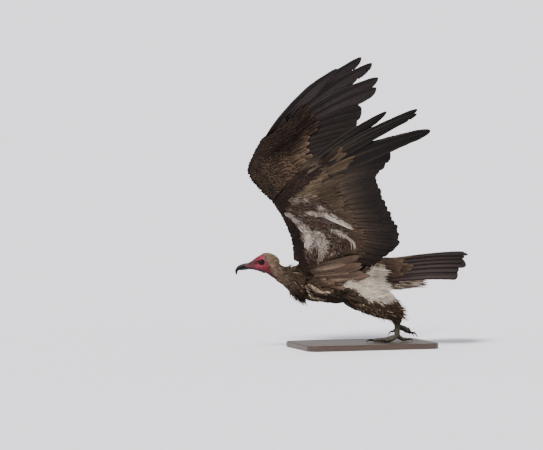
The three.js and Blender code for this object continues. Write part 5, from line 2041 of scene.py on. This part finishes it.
def build_stage():
    far = 60000.0
    corners = [[-far, -far, 0], [far, -far, 0], [far, far, 0], [-far, far, 0]]
    floor = new_object("floor", np.array(corners), np.array([[0, 1, 2, 3]]), np.zeros((0, 3), int))
    on_floor = AMBIENT * WORLD_COLOUR
    on_floor = on_floor + SUN["strength"] * SUN_COLOUR * math.sin(math.radians(SUN["height"])) / math.pi
    t = Nodes("pale_floor")
    floor.data.materials.append(t.finish(
        Base_Color=(*(SKY / on_floor), 1), Roughness=1.0, Specular_IOR_Level=0.0,
    ))
    world = bpy.data.worlds.new("studio")
    bpy.context.scene.world = world
    world.use_nodes = True
    tree = world.node_tree
    lighting = tree.nodes["Background"]
    lighting.inputs["Color"].default_value = (*WORLD_COLOUR, 1)
    lighting.inputs["Strength"].default_value = AMBIENT
    seen = tree.nodes.new("ShaderNodeBackground")
    seen.inputs["Color"].default_value = (*(SKY / SKY.max()), 1)
    seen.inputs["Strength"].default_value = SKY.max()
    path = tree.nodes.new("ShaderNodeLightPath")
    blend = tree.nodes.new("ShaderNodeMixShader")
    tree.links.new(path.outputs["Is Camera Ray"], blend.inputs[0])
    tree.links.new(lighting.outputs[0], blend.inputs[1])
    tree.links.new(seen.outputs[0], blend.inputs[2])
    tree.links.new(blend.outputs[0], tree.nodes["World Output"].inputs["Surface"])
    light = bpy.data.lights.new("key", "SUN")
    light.energy = SUN["strength"]
    light.angle = math.radians(SUN["softness"])
    light.color = SUN_COLOUR
    lamp = bpy.data.objects.new("key", light)
    bearing, height = math.radians(SUN["bearing"]), math.radians(SUN["height"])
    towards = Vector((
        math.sin(bearing) * math.cos(height), -math.cos(bearing) * math.cos(height), math.sin(height),
    ))
    lamp.rotation_mode = "QUATERNION"
    lamp.rotation_quaternion = towards.to_track_quat("Z", "Y")
    bpy.context.scene.collection.objects.link(lamp)


CAMERA = {  # degrees, and metres; aside and above are from the shoulders to the picture's middle
    "azimuth": -18, "elevation": 2, "distance": 8.0, "aside": -0.094, "above": 0.112,
    "sensor": 36, "seen": 543 * 2.8 * MM,  # the width that the picture shows at the bird
}


def build_camera():
    azimuth, elevation = math.radians(CAMERA["azimuth"]), math.radians(CAMERA["elevation"])
    back = Vector((
        math.sin(azimuth) * math.cos(elevation),
        -math.cos(azimuth) * math.cos(elevation),
        math.sin(elevation),
    ))
    right = Vector((math.cos(azimuth), math.sin(azimuth), 0))
    aim = Vector(SHOULDER * MM) + right * CAMERA["aside"] + Vector((0, 0, CAMERA["above"]))
    camera_data = bpy.data.cameras.new("camera")
    camera_data.sensor_width = CAMERA["sensor"]
    camera_data.lens = CAMERA["sensor"] * CAMERA["distance"] / CAMERA["seen"]
    camera = bpy.data.objects.new("camera", camera_data)
    camera.location = aim + back * CAMERA["distance"]
    camera.rotation_mode = "QUATERNION"
    camera.rotation_quaternion = back.to_track_quat("Z", "Y")
    bpy.context.scene.collection.objects.link(camera)
    bpy.context.scene.camera = camera


# ---------------------------------------------------------------- assembly

build_camera()
build_stage()
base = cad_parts["stand_base"]
base.data.materials.clear()
base.data.materials.append(MATERIALS["wood"])

skin = build_skin()
whole_surface = Surface(skin)
build_bill()
build_eyes()
build_claws()
for side_name in SIDES:
    build_flight_feathers(side_name)
    build_axillaries(side_name)
    build_alula(side_name)
    for face in (1, -1):
        build_coverts(side_name, face, whole_surface)
    build_wing_down(side_name, whole_surface)
build_tail()
build_body_coat(whole_surface)
head_random = np.random.default_rng(61)
for build in (build_hood, build_bristles, build_ruff, build_hackles):
    build(whole_surface, head_random)
tail_covert_rows("coverts_tail_upper", 1, [(0.05, 21, 50, 12, 8), (0.1, 17, 66, 13, 4)], whole_surface, 71)
tail_covert_rows("coverts_tail_lower", -1, [(0.0, 16, 70, 10, 8), (0.05, 14, 90, 10, 4)], whole_surface, 72)
